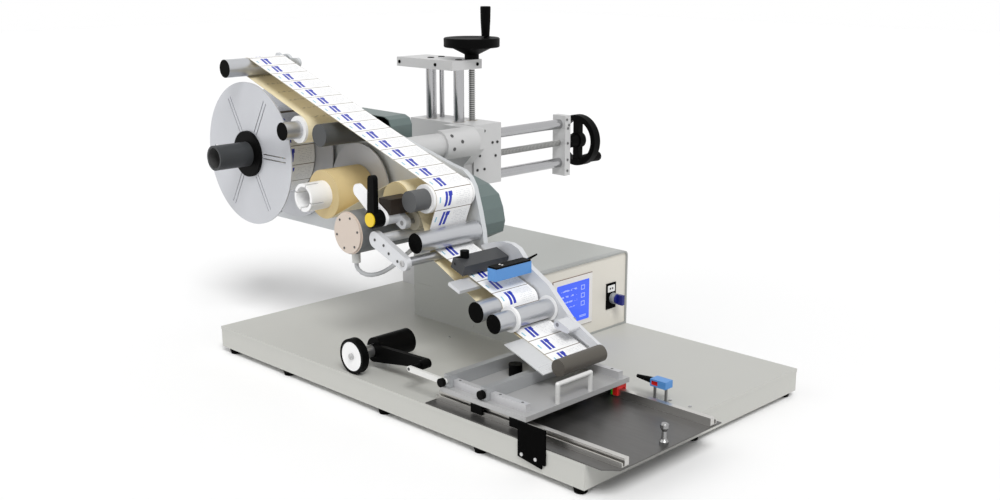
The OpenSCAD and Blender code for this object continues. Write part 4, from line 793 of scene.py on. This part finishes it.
# Finishes of each node: the first is for all its faces, the others for the places named with them
BASE_LOOKS = {
    "base_tray": ("tray_coat",),
    "rubber_feet": ("foot_rubber",),
    "drawer_plate": ("drawer_steel",),
    "drawer_rails": ("zinc_rail",),
    "base_fittings": ("polished_steel", ("black_plate", COLUMN_BOLTS), ("pale_screw", BASE_SCREWS),
                      ("dull_steel", CELL_POSTS), ("pin_steel", STOP_PIN)),
    "black_plates": ("black_plate", ("collar_grey", SWITCH_COLLAR)),
    "photocell": ("sensor_blue", ("cell_window", CELL_WINDOW), ("black_moulding", CELL_LEAD)),
    "box_cover": ("box_coat",),
    "box_frame": ("frame_silver",),
    "front_panel": ("panel_coat",),
    "display": ("bezel_white",),
    "box_electronics": ("drive_case",),
    "switch_knob": ("knob_navy",),
    "column_plates": ("alloy_block",),
    "column_rods": ("polished_steel",),
    "height_wheel": ("black_moulding",),
    "height_grip": ("black_moulding",),
    "slide_block": ("alloy_block", ("screw_black", BLOCK_BOLTS)),
    "block_bushes": ("bush_steel",),
    "cross_bracket": ("alloy_block", ("screw_black", COLLAR_SCREWS)),
    "cross_rods": ("polished_steel", ("alloy_block", on_end_plate), ("screw_grey", END_BOLTS)),
    "cross_wheel": ("black_moulding",),
    "cross_grip": ("black_moulding",),
}
HEAD_LOOKS = {
    "head_plate": ("head_alloy", ("alloy_block", SUPPORT_TUBE)),
    "rear_covers": ("cover_coat",),
    "axle_pins": ("axle_steel",),
    "unwind_spindle": ("disc_silver", ("spindle_dark", UNWIND_TUBE), ("axle_steel", UNWIND_BORE),
                       ("black_moulding", UNWIND_HUB)),
    "rewind_spindle": ("sleeve_white", ("disc_silver", BACK_DISC), ("axle_steel", REWIND_BORE)),
    "dancer_arm": ("head_alloy", ("axle_steel", DANCER_PIN)),
    "dancer_roller": ("roller_silver", ("end_cap_black", DANCER_END)),
    "idler_roller": ("sleeve_white", ("roller_silver", IDLER_TUBE), ("end_cap_black", IDLER_END)),
    "guide_bars": ("guide_rubber",),
    "feed_roller": ("sleeve_white", ("feed_grey", FEED_TUBE, FEED_END)),
    "silver_roller": ("roller_silver", ("end_cap_black", SILVER_END)),
    "small_roller": ("roller_silver",),
    "nip_roller": ("nip_sleeve",),
    "drive_roller": ("nip_rubber",),
    "lower_roller": ("roller_silver", ("end_cap_black", LOWER_END)),
    "collar_roller": ("roller_silver", ("sleeve_white", COLLARS, COLLAR_FACES),
                      ("end_cap_black", COLLARED_END)),
    "motor": ("motor_body", ("motor_cap", MOTOR_CAP), ("gland_pale", MOTOR_GLAND)),
    "motor_cable": ("cable_sleeve",),
    "front_arms": ("arm_silver", ("bar_white", CLAMP_BAR), ("guide_brown", GUIDE_BLOCK)),
    "clamp_lever": ("black_moulding", ("cap_yellow", LEVER_CAP)),
    "peel_arm": ("arm_silver",),
    "peel_sheet": ("sheet_alloy",),
    "sensors": ("sensor_dark", ("arm_silver", SENSOR_BED), ("black_moulding", SENSOR_KNOB),
                ("sensor_blue", BLUE_SENSOR), ("black_moulding", SENSOR_LEAD)),
    "apply_arm": ("arm_silver",),
    "apply_roller": ("apply_rubber",),
}
CARRIAGE_LOOKS = {
    "carriage_plate": ("carriage_alloy", ("strip_alloy", SIDE_STRIPS), ("handle_silver", BOW_HANDLE)),
    "stop_bar_left": ("bar_alloy", ("black_moulding", BAR_KNOB)),
    "stop_bar_right": ("bar_alloy", ("black_moulding", BAR_KNOB)),
    "encoder_body": ("black_moulding", ("arm_white", ENCODER_ARM)),
    "encoder_wheel": ("wheel_white", ("black_moulding", TYRE), ("axle_steel", WHEEL_COUPLING, WHEEL_SHAFT)),
}

# Colours of the sides of the two wound rolls
LABEL_SIDE = (0.74, 0.70, 0.60)
LINER_SIDE = (0.66, 0.52, 0.27)


def wear(node, *finishes):
    """Gives a node its finishes, later ones over earlier ones.

    Each is a material or the name of a finish, alone or with the tests of the faces that wear it.
    """
    mesh = NODES[node].data
    count = len(mesh.polygons)
    middle, normal = np.empty(count * 3, np.float32), np.empty(count * 3, np.float32)
    mesh.polygons.foreach_get("center", middle)
    mesh.polygons.foreach_get("normal", normal)
    centre = ((middle.reshape(-1, 3) - TRAY_CORNER) / MM).T
    facing = normal.reshape(-1, 3).T
    slots = np.zeros(count, np.int32)
    mesh.materials.clear()
    for number, item in enumerate(finishes):
        kind, *tests = item if isinstance(item, tuple) else (item,)
        material = finish(kind) if isinstance(kind, str) else kind
        mesh.materials.append(material)
        for test in tests:
            chosen = test(centre, facing)
            if not chosen.any():
                raise RuntimeError(f"no face of {node} wears {material.name}")
            slots[chosen] = number
    mesh.polygons.foreach_set("material_index", slots)
    mesh.update()


def wear_all(looks):
    """Gives every node of a table its finishes."""
    for node, finishes in looks.items():
        wear(node, *finishes)


# Meshes


def make_piece(name, points, faces, materials, body, face_slots=None, uv=None):
    """A piece from points in metres in the part's frame, riding on a body. uv is one pair per point."""
    mesh = bpy.data.meshes.new(name)
    mesh.from_pydata(np.asarray(points).tolist(), [], faces)
    for material in materials:
        mesh.materials.append(material)
    if face_slots is not None:
        mesh.polygons.foreach_set("material_index", np.asarray(face_slots, np.int32))
    if uv is not None:
        corner = np.empty(len(mesh.loops), np.int32)
        mesh.loops.foreach_get("vertex_index", corner)
        mesh.uv_layers.new(name="UVMap").data.foreach_set("uv", np.asarray(uv, np.float32)[corner].ravel())
    mesh.update()
    piece = bpy.data.objects.new(name, mesh)
    bpy.context.scene.collection.objects.link(piece)
    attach(piece, body)
    return piece


def belt(circles):
    """Points, headings and lengths along a belt round circles.

    Between two circles the heading is the centre line's angle less the arcsine of the change in signed
    radius over the distance. On a circle the belt is at the centre plus the signed radius times the sine
    of the heading in x, and less the signed radius times its cosine in z.
    """
    circles = np.array(circles, float)
    centres, sense = circles[:, :2], circles[:, 3]
    signed = circles[:, 2] * sense
    step = np.diff(centres, axis=0)
    lean = np.arcsin(np.diff(signed) / np.hypot(step[:, 0], step[:, 1]))
    heading = np.arctan2(step[:, 1], step[:, 0]) - lean
    swept = sense[1:-1] * np.mod(np.diff(heading) * sense[1:-1], 2 * np.pi)
    angles = (heading[:-1, None] + swept[:, None] * np.linspace(0, 1, ARC_STEPS + 1)[None, :]).ravel()
    angles = np.unwrap(np.concatenate((heading[:1], angles, heading[-1:])))
    which = np.repeat(np.arange(1, len(circles) - 1), ARC_STEPS + 1)
    which = np.concatenate(([0], which, [len(circles) - 1]))
    points = centres[which] + signed[which, None] * np.stack((np.sin(angles), -np.cos(angles)), 1)
    length = np.concatenate(([0], np.cumsum(np.hypot(*np.diff(points, axis=0).T))))
    return points, angles, length


def round_belt(axis, radius):
    """Points, headings and lengths for one full turn round an axis, label side out.

    The heading falls by a full turn. A point is at the centre less the radius times the sine of the heading
    in x, and plus the radius times its cosine in z.
    """
    angles = np.linspace(0, -2 * np.pi, ROLL_STEPS + 1)
    points = np.array(axis) - radius * np.stack((np.sin(angles), -np.cos(angles)), 1)
    return points, angles, radius * np.linspace(0, 2 * np.pi, ROLL_STEPS + 1)


def web_stations(length, count):
    """The belt's own points and even ones between them, as one row."""
    return np.unique(np.concatenate((length, np.linspace(length[0], length[-1], count))))[None]


def label_stations(first, count, step, gap):
    """One row of stations for each label, which leaves half a gap free at both its ends."""
    one = np.linspace(gap / 2, step - gap / 2, ONE_LABEL_STATIONS)
    return first + np.arange(count)[:, None] * step + one[None]


def strips(name, track, stations, low, high, near, far, materials, body, tile=None):
    """Flat strips along a belt, each with a box for its section, from low to high off it and near to far.

    Off the belt means less the sine of the heading in x, and plus its cosine in z.
    stations is one row of lengths for each strip. UV runs along and across the strip: along it from 0 to 1,
    or once per tile where that is given. The first material is on the outer face, the second elsewhere.
    """
    points, angles, length = track
    rows, columns = stations.shape
    heading = np.interp(stations, length, angles)[..., None]
    off = np.array((low, low, high, high))
    across = np.array((near, far, far, near))
    x = np.interp(stations, length, points[:, 0])[..., None] - np.sin(heading) * off
    z = np.interp(stations, length, points[:, 1])[..., None] + np.cos(heading) * off
    corners = place(np.stack((x, np.broadcast_to(across, x.shape), z), -1).reshape(-1, 3))
    span = stations[:, -1:] - stations[:, :1]
    along = stations / tile if tile else (stations - stations[:, :1]) / span
    uv = np.stack((np.broadcast_to(along[..., None], x.shape),
                   np.broadcast_to((across - near) / (far - near), x.shape)), -1)
    index = np.arange(rows * columns * 4).reshape(rows, columns, 4)
    here, ahead = index[:, :-1], index[:, 1:]
    side = np.stack((here, np.roll(here, -1, 2), np.roll(ahead, -1, 2), ahead), -1)
    side_slots = np.broadcast_to(np.array((1, 1, 0, 1)), side.shape[:-1]).reshape(-1)
    ends = np.concatenate((index[:, 0, ::-1], index[:, -1]))
    faces = np.concatenate((side.reshape(-1, 4), ends))
    slots = np.concatenate((side_slots, np.ones(len(ends), int)))
    return make_piece(name, corners, faces.tolist(), materials, body, slots, uv.reshape(-1, 2))


# Corners round a turned screw head
HEAD_SIDES = 20


def turned_heads(name, profile, places, axis, materials, body):
    """Equal turned pieces: a profile of radius and height is revolved about an axis at each place.

    The first and last profile points lie on the axis.
    """
    profile = np.array(profile, float)
    angle = np.linspace(0, 2 * np.pi, HEAD_SIDES, endpoint=False)
    ring = profile[1:-1]
    level = np.broadcast_to(ring[:, 1:], (len(ring), HEAD_SIDES))
    unit = np.stack((ring[:, :1] * np.cos(angle), ring[:, :1] * np.sin(angle), level), -1)
    local = np.concatenate((unit.reshape(-1, 3), [[0, 0, profile[0, 1]], [0, 0, profile[-1, 1]]]))
    direction = Vector(axis).normalized()
    turn = np.array(direction.to_track_quat("Z", "Y").to_matrix())
    local = local @ turn.T
    places = np.atleast_2d(np.array(places, float))
    points = place((places[:, None, :] + local[None]).reshape(-1, 3))
    grid = np.arange(len(ring) * HEAD_SIDES).reshape(len(ring), HEAD_SIDES)
    beside = np.roll(grid, -1, 1)
    quads = np.stack((grid[:-1], beside[:-1], beside[1:], grid[1:]), -1).reshape(-1, 4)
    foot = np.stack((np.full(HEAD_SIDES, grid.size), beside[0], grid[0]), -1)
    top = np.stack((np.full(HEAD_SIDES, grid.size + 1), grid[-1], beside[-1]), -1)
    shift = np.arange(len(places)) * len(local)
    faces = (quads[None] + shift[:, None, None]).reshape(-1, 4).tolist()
    faces += (np.concatenate((foot, top))[None] + shift[:, None, None]).reshape(-1, 3).tolist()
    return make_piece(name, points, faces, materials, body)


def prism(name, outline, low, high, axis, materials, body, slot, inner=None):
    """A flat plate with any outline, or a flat frame with an inner outline of as many points.

    The plate faces along the axis, X or Z, and its outline is in the two other axes.
    """
    outline = np.array(outline, float)
    count = len(outline)
    order = {"X": (2, 0, 1), "Z": (0, 1, 2)}[axis]
    loops = [outline] if inner is None else [outline, np.array(inner, float)]
    flat = np.concatenate([np.concatenate((loop, np.full((count, 1), level)), 1)
                           for loop in loops for level in (low, high)])
    points = place(flat[:, order])
    ring = np.arange(count)
    beside = np.roll(ring, -1)
    faces = np.stack((ring, beside, beside + count, ring + count), -1).tolist()
    if inner is None:
        faces += [ring[::-1].tolist(), (ring + count).tolist()]
    else:
        inside, inside_beside = ring + 2 * count, beside + 2 * count
        faces += np.stack((inside_beside, inside, inside + count, inside_beside + count), -1).tolist()
        faces += np.stack((beside, ring, inside, inside_beside), -1).tolist()
        faces += np.stack((ring + count, beside + count, inside_beside + count, inside + count), -1).tolist()
    return make_piece(name, points, faces, materials, body)


# Points on each corner of a rectangle with round corners
CORNER_POINTS = 6


def rounded(wide, high, radius):
    """A rectangle of two ranges with round corners.

    Each corner is a quarter circle, turned to face it, about a middle one radius in from both its edges.
    """
    angle = np.linspace(0, np.pi / 2, CORNER_POINTS)
    quarter = np.stack((np.cos(angle), np.sin(angle)), 1) * radius
    left, right = wide[0] + radius, wide[1] - radius
    bottom, top = high[0] + radius, high[1] - radius
    middles = ((right, top), (left, top), (left, bottom), (right, bottom))
    turns = (((1, 0), (0, 1)), ((0, 1), (-1, 0)), ((-1, 0), (0, -1)), ((0, -1), (1, 0)))
    return np.concatenate([quarter @ np.array(turn) + middle for turn, middle in zip(turns, middles)])


# A round screw head with a recess: share of its radius, and height where the whole is SOCKET_TOP high
SOCKET_TOP = 0.8
SOCKET_HEAD = ((0, 0), (1.0, 0), (1.0, 0.62), (0.86, SOCKET_TOP), (0.52, SOCKET_TOP), (0.46, 0.3), (0, 0.3))


def socket_profile(radius, height):
    """A round screw head with a recess, as a profile to be turned."""
    return [(out * radius, up * height / SOCKET_TOP) for out, up in SOCKET_HEAD]


# Heads of the screws and caps, as profiles to be turned
SMALL_HEAD = socket_profile(2.6, 0.9)
SUNK_HEAD = socket_profile(2.6, 0.2)
ARM_HEAD = socket_profile(3.0, 0.9)
PIN_HEAD = socket_profile(3.2, 0.8)
PLATE_HEAD = socket_profile(3.4, 1.0)
COLLAR_HEAD = socket_profile(4.2, 1.0)
BOLT_HEAD = socket_profile(6.5, 2.4)
WHEEL_NUT = ((0, 0), (6.5, 0), (6.5, 3.4), (5.6, 4.2), (3.0, 4.2), (2.8, 5.2), (0, 5.2))
LAMP_HEAD = ((0, 0), (2.2, 0), (2.1, 0.5), (1.4, 0.9), (0, 1.0))

# Directions that the heads face
NEAR = (0, -1, 0)
UP = (0, 0, 1)

# Faces that the heads sit on: along Y motor and lower arm, head plate and box, along Z side strips
ARM_FACE_Y, PLATE_FACE_Y, BOX_SIDE_Y, STRIP_TOP_Z = 100, 300, 361, 49

# Motor cap: how far out its screws are, and their turns in degrees
CAP_SCREWS_OUT = 34
CAP_TURNS = np.arange(6) * 60 + 12

# Clamp collar of the bracket: its radius, and each screw's Y and lean in degrees
COLLAR_R = 34
COLLAR_SCREWS_AT = ((431, 48), (431, 100), (456, 76))

# Places of the other screws, in the two axes of the face that they sit on
ARM_SCREWS_AT = ((421, 250), (448, 243), (463, 229), (489, 218))
BOX_SCREWS_AT = ((262, 14), (598, 14), (430, 14))
PLATE_SCREWS_AT = ((-180, 470), (-180, 190), (300, 212), (540, 215), (250, 410), (470, 352))
STRIP_SCREWS_X, STRIP_SCREWS_Y = (728, 830, 884), (40, 283)
WHEEL_NUT_Y = 9
ARM_PIN_AT = (611, 18, 47)


def on_face(y, spots):
    """Places on a face that looks along -Y, from the x and z of each."""
    return [(x, y, z) for x, z in spots]


def round_axis(axis, out, turns):
    """The x and z of places round an axis along Y, one for each turn in degrees."""
    turn = np.radians(turns)
    return np.stack((axis[0] + out * np.cos(turn), axis[1] + out * np.sin(turn)), 1)


def collar_screw(number, y, lean):
    """A row of the table of screws for one screw of the clamp collar, which leans from upright."""
    away = (math.sin(math.radians(lean)), 0, math.cos(math.radians(lean)))
    at = (TUBE[0] + COLLAR_R * away[0], y, TUBE[1] + COLLAR_R * away[2])
    return f"collar_screw_{number}", COLLAR_HEAD, at, away, "screw_dark", "cross_frame"


# Screws and caps: name, profile, places, the way they face, finish and body
SCREWS = (
    ("motor_screws", SMALL_HEAD, on_face(ARM_FACE_Y, round_axis(MOTOR, CAP_SCREWS_OUT, CAP_TURNS)), NEAR,
     "screw_dark", "head"),
    ("arm_screws", ARM_HEAD, on_face(ARM_FACE_Y, ARM_SCREWS_AT), NEAR, "screw_dark", "head"),
    ("arm_end_bolt", BOLT_HEAD, on_face(ARM_FACE_Y, [SMALL]), NEAR, "screw_bright", "head"),
    ("strip_screws", SUNK_HEAD, [(x, y, STRIP_TOP_Z) for y in STRIP_SCREWS_Y for x in STRIP_SCREWS_X], UP,
     "screw_dark", "carriage"),
    *(collar_screw(number, *at) for number, at in enumerate(COLLAR_SCREWS_AT)),
    ("box_screws", SMALL_HEAD, on_face(BOX_SIDE_Y, BOX_SCREWS_AT), NEAR, "screw_bright", "base"),
    ("plate_screws", PLATE_HEAD, on_face(PLATE_FACE_Y, PLATE_SCREWS_AT), NEAR, "screw_dark", "head"),
    ("wheel_nut", WHEEL_NUT, on_face(WHEEL_NUT_Y, [WHEEL]), NEAR, "screw_bright", "encoder_roll"),
    ("arm_pin_cap", PIN_HEAD, ARM_PIN_AT, NEAR, "screw_dark", "encoder"),
)

# Blue sensor: its black cap as ranges of x, y and z, and its lamps
CAP_X, CAP_Y, CAP_ROUND, CAP_Z = (649.6, 672.4), (190.0, 286.0), 1.0, (218.0, 221.5)
LAMPS_X, LAMPS_Y = (657, 664), 214


# Operators


class BuildStage(bpy.types.Operator):
    """Makes the camera, the pale floor and the soft light"""

    bl_idname = "labeler.stage"
    bl_label = "Stage"

    def execute(self, context):
        scene = context.scene
        scene.view_settings.view_transform = "Standard"
        camera = bpy.data.objects.new("Camera", bpy.data.cameras.new("Camera"))
        scene.collection.objects.link(camera)
        scene.camera = camera
        camera.data.sensor_width = FILM
        camera.data.lens = LENS
        camera.data.shift_x = SHIFT
        camera.data.shift_y = -SHIFT
        camera.location = EYE
        forward = Vector((-math.sin(TURN) * math.cos(DIP), math.cos(TURN) * math.cos(DIP), -math.sin(DIP)))
        camera.rotation_mode = "QUATERNION"
        camera.rotation_quaternion = forward.to_track_quat("-Z", "Y")
        camera.data.clip_end = REACH

        side = np.linspace(-FLOOR_HALF, FLOOR_HALF, FLOOR_POINTS)
        grid = np.stack(np.meshgrid(side, side, indexing="ij"), -1).reshape(-1, 2)
        points = np.concatenate((grid, np.zeros((len(grid), 1))), 1)
        index = np.arange(len(grid)).reshape(FLOOR_POINTS, FLOOR_POINTS)
        quads = np.stack((index[:-1, :-1], index[1:, :-1], index[1:, 1:], index[:-1, 1:]), -1).reshape(-1, 4)
        mesh = bpy.data.meshes.new("Floor")
        mesh.from_pydata(points.tolist(), [], quads.tolist())
        floor = bpy.data.objects.new("Floor", mesh)
        scene.collection.objects.link(floor)
        mesh.materials.append(finish("floor_white"))

        world = bpy.data.worlds.new("Studio")
        scene.world = world
        world.use_nodes = True
        tree = world.node_tree
        back = tree.nodes["Background"]
        back.inputs["Color"].default_value = (1, 1, 1, 1)
        path = tree.nodes.new("ShaderNodeLightPath")
        seen = math_node(tree, "MAXIMUM", path.outputs["Is Camera Ray"], path.outputs["Is Transmission Ray"])
        seen = math_node(tree, "MAXIMUM", seen, path.outputs["Is Glossy Ray"])
        bright = math_node(tree, "ADD", math_node(tree, "MULTIPLY", seen, 1 - AMBIENT), AMBIENT)
        tree.links.new(bright, back.inputs["Strength"])

        for name, energy, angle, aim in SUNS:
            lamp = bpy.data.lights.new(name, "SUN")
            lamp.energy = energy
            lamp.angle = math.radians(angle)
            lit = bpy.data.objects.new(name, lamp)
            scene.collection.objects.link(lit)
            lit.rotation_mode = "QUATERNION"
            lit.rotation_quaternion = Vector(aim).to_track_quat("-Z", "Y")
        return {"FINISHED"}


class FinishBase(bpy.types.Operator):
    """Gives the tray, drawer, control box and column their finishes"""

    bl_idname = "labeler.base"
    bl_label = "Base finishes"

    def execute(self, context):
        wear_all(BASE_LOOKS)
        # The threads of the two screws are painted in light and shade
        wear("height_screw", threaded("height_thread", 2, place((0, 0, HEIGHT_THREAD_Z))[2]))
        wear("cross_screw", threaded("cross_thread", 1, place((0, CROSS_THREAD_Y, 0))[1]))
        return {"FINISHED"}


class FinishHead(bpy.types.Operator):
    """Gives the label head, its rollers, arms and sensors their finishes"""

    bl_idname = "labeler.head"
    bl_label = "Head finishes"

    def execute(self, context):
        wear_all(HEAD_LOOKS)
        # The wound roll's face shows dark between its labels as painted shade of the label edges
        wear("label_roll", wound_paper("label_side", LABEL_SIDE, UNWIND), ("liner_between", ROLL_SURFACE))
        wear("liner_roll", wound_paper("liner_side", LINER_SIDE, REWIND))
        return {"FINISHED"}


class FinishCarriage(bpy.types.Operator):
    """Gives the carriage, its stop bars and the length encoder their finishes"""

    bl_idname = "labeler.carriage"
    bl_label = "Carriage finishes"

    def execute(self, context):
        wear_all(CARRIAGE_LOOKS)
        wear("runner_blocks", "black_moulding", (lit_end("lamp_end"), RUNNER_END))
        return {"FINISHED"}


class BuildLabels(bpy.types.Operator):
    """Makes the liner with its row of labels, and the labels round the full roll"""

    bl_idname = "labeler.labels"
    bl_label = "Labels"

    def execute(self, context):
        settings = look()
        pitch, gap = settings.label_pitch / MM, settings.label_gap / MM
        margin, stock = settings.label_margin / MM, settings.label_stock / MM
        paper = [label_face("label_print"), finish("label_edge")]
        backing = liner_face("liner_backing", THROUGH_UNDER_LABELS)
        near, far = WEB_NEAR + margin, WEB_FAR - margin
        track = belt(LABEL_RUN)
        total = track[2][-1]
        if total < 2 * pitch:
            raise RuntimeError("the label pitch is too long for the web")
        # The liner's outer face is dark brown, painted shade that shows between the labels
        web = strips("label_liner", track, web_stations(track[2], LABEL_STATIONS), -WEB_HALF, WEB_HALF,
                     WEB_NEAR, WEB_FAR, [finish("liner_between"), backing], "head", tile=pitch)
        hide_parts("label_web")
        count = int(total // pitch)
        first = total - count * pitch - FIRST_LABEL_IN
        strips("label_row", track, label_stations(first, count, pitch, gap), WEB_HALF, WEB_HALF + stock,
               near, far, paper, "head")
        ring = round_belt(UNWIND, ROLL_R)
        around = int(ring[2][-1] // pitch)
        step = ring[2][-1] / around
        strips("roll_labels", ring, label_stations(0, around, step, gap), 0.0, stock,
               near, far, paper, "unwinder")
        return {"FINISHED"}


class BuildLiner(bpy.types.Operator):
    """Makes the empty liner that runs back to the rewinder"""

    bl_idname = "labeler.liner"
    bl_label = "Empty liner"

    def execute(self, context):
        backing = liner_face("liner_bare", THROUGH_BARE)
        # The track leaves the collar roller only for its heading; the liner begins at the tip
        track = belt(LINER_RUN)
        stations = web_stations(track[2][1:], LINER_STATIONS)
        web = strips("liner_return", track, stations, -WEB_HALF, WEB_HALF, WEB_NEAR, WEB_FAR,
                     [backing, backing], "head", tile=look().label_pitch / MM)
        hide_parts("liner_web")
        return {"FINISHED"}


class BuildScreen(bpy.types.Operator):
    """Makes the screen, its outline and the switch legend on the control box"""

    bl_idname = "labeler.screen"
    bl_label = "Screen and legend"

    def execute(self, context):
        glass = BOX_FACE_X + GLASS_UP
        prism("screen_glass", rounded(GLASS_Y, GLASS_Z, GLASS_ROUND), glass, glass + GLASS_T, "X",
              [screen_face("screen_lit")], "base", "screen")
        prism("screen_outline", rounded(OUTLINE_Y, OUTLINE_Z, OUTLINE_ROUND),
              BOX_FACE_X, BOX_FACE_X + OUTLINE_T, "X", [finish("outline_brown")], "base", "black_metal",
              inner=rounded(OUTLINE_IN_Y, OUTLINE_IN_Z, OUTLINE_IN_ROUND))
        legend = BOX_FACE_X + LEGEND_UP
        top = legend + LEGEND_T
        prism("switch_legend", rounded(LEGEND_Y, LEGEND_Z, LEGEND_ROUND), legend, top, "X",
              [finish("legend_white")], "base", "panel_cream")
        for number, y in enumerate(LEGEND_BARS_Y):
            bar = rounded((y, y + LEGEND_BAR_L), LEGEND_BAR_Z, LEGEND_BAR_ROUND)
            prism(f"legend_bar_{number}", bar, top, top + LEGEND_BAR_T, "X", [finish("legend_ink")],
                  "base", "black_metal")
        return {"FINISHED"}


class BuildScrews(bpy.types.Operator):
    """Makes the screws of the head, cross slide, box and carriage, and the nut and cap of the encoder"""

    bl_idname = "labeler.screws"
    bl_label = "Screws"

    def execute(self, context):
        for name, profile, places, way, kind, body in SCREWS:
            turned_heads(name, profile, places, way, [finish(kind)], body)
        return {"FINISHED"}


class BuildSensorTrim(bpy.types.Operator):
    """Makes the flat black cap of the blue sensor and the two lamps on it"""

    bl_idname = "labeler.sensor_trim"
    bl_label = "Sensor trim"

    def execute(self, context):
        prism("sensor_cap", rounded(CAP_X, CAP_Y, CAP_ROUND), *CAP_Z, "Z", [finish("black_moulding")],
              "head", "black_plastic")
        turned_heads("sensor_lamps", LAMP_HEAD, [(x, LAMPS_Y, CAP_Z[1]) for x in LAMPS_X], UP,
                     [finish("lamp_white")], "head")
        return {"FINISHED"}


class LabelerPanel(bpy.types.Panel):
    """Lists the pieces and their settings"""

    bl_idname = "VIEW3D_PT_labeler"
    bl_label = "Labeling machine"
    bl_space_type = "VIEW_3D"
    bl_region_type = "UI"
    bl_category = "Labeler"

    def draw(self, context):
        settings = context.scene.labeler_look
        for key in LabelerLook.__annotations__:
            self.layout.prop(settings, key)
        for step in STEPS:
            self.layout.operator(step.bl_idname)


STEPS = (BuildStage, FinishBase, FinishHead, FinishCarriage, BuildLabels, BuildLiner, BuildScreen,
         BuildScrews, BuildSensorTrim)
CLASSES = (LabelerLook, *STEPS, LabelerPanel)


def register():
    for item in CLASSES:
        bpy.utils.register_class(item)
    bpy.types.Scene.labeler_look = bpy.props.PointerProperty(type=LabelerLook)


def unregister():
    del bpy.types.Scene.labeler_look
    for item in reversed(CLASSES):
        bpy.utils.unregister_class(item)


def main():
    register()
    for step in STEPS:
        group, name = step.bl_idname.split(".")
        getattr(getattr(bpy.ops, group), name)()


if __name__ == "__main__":
    main()
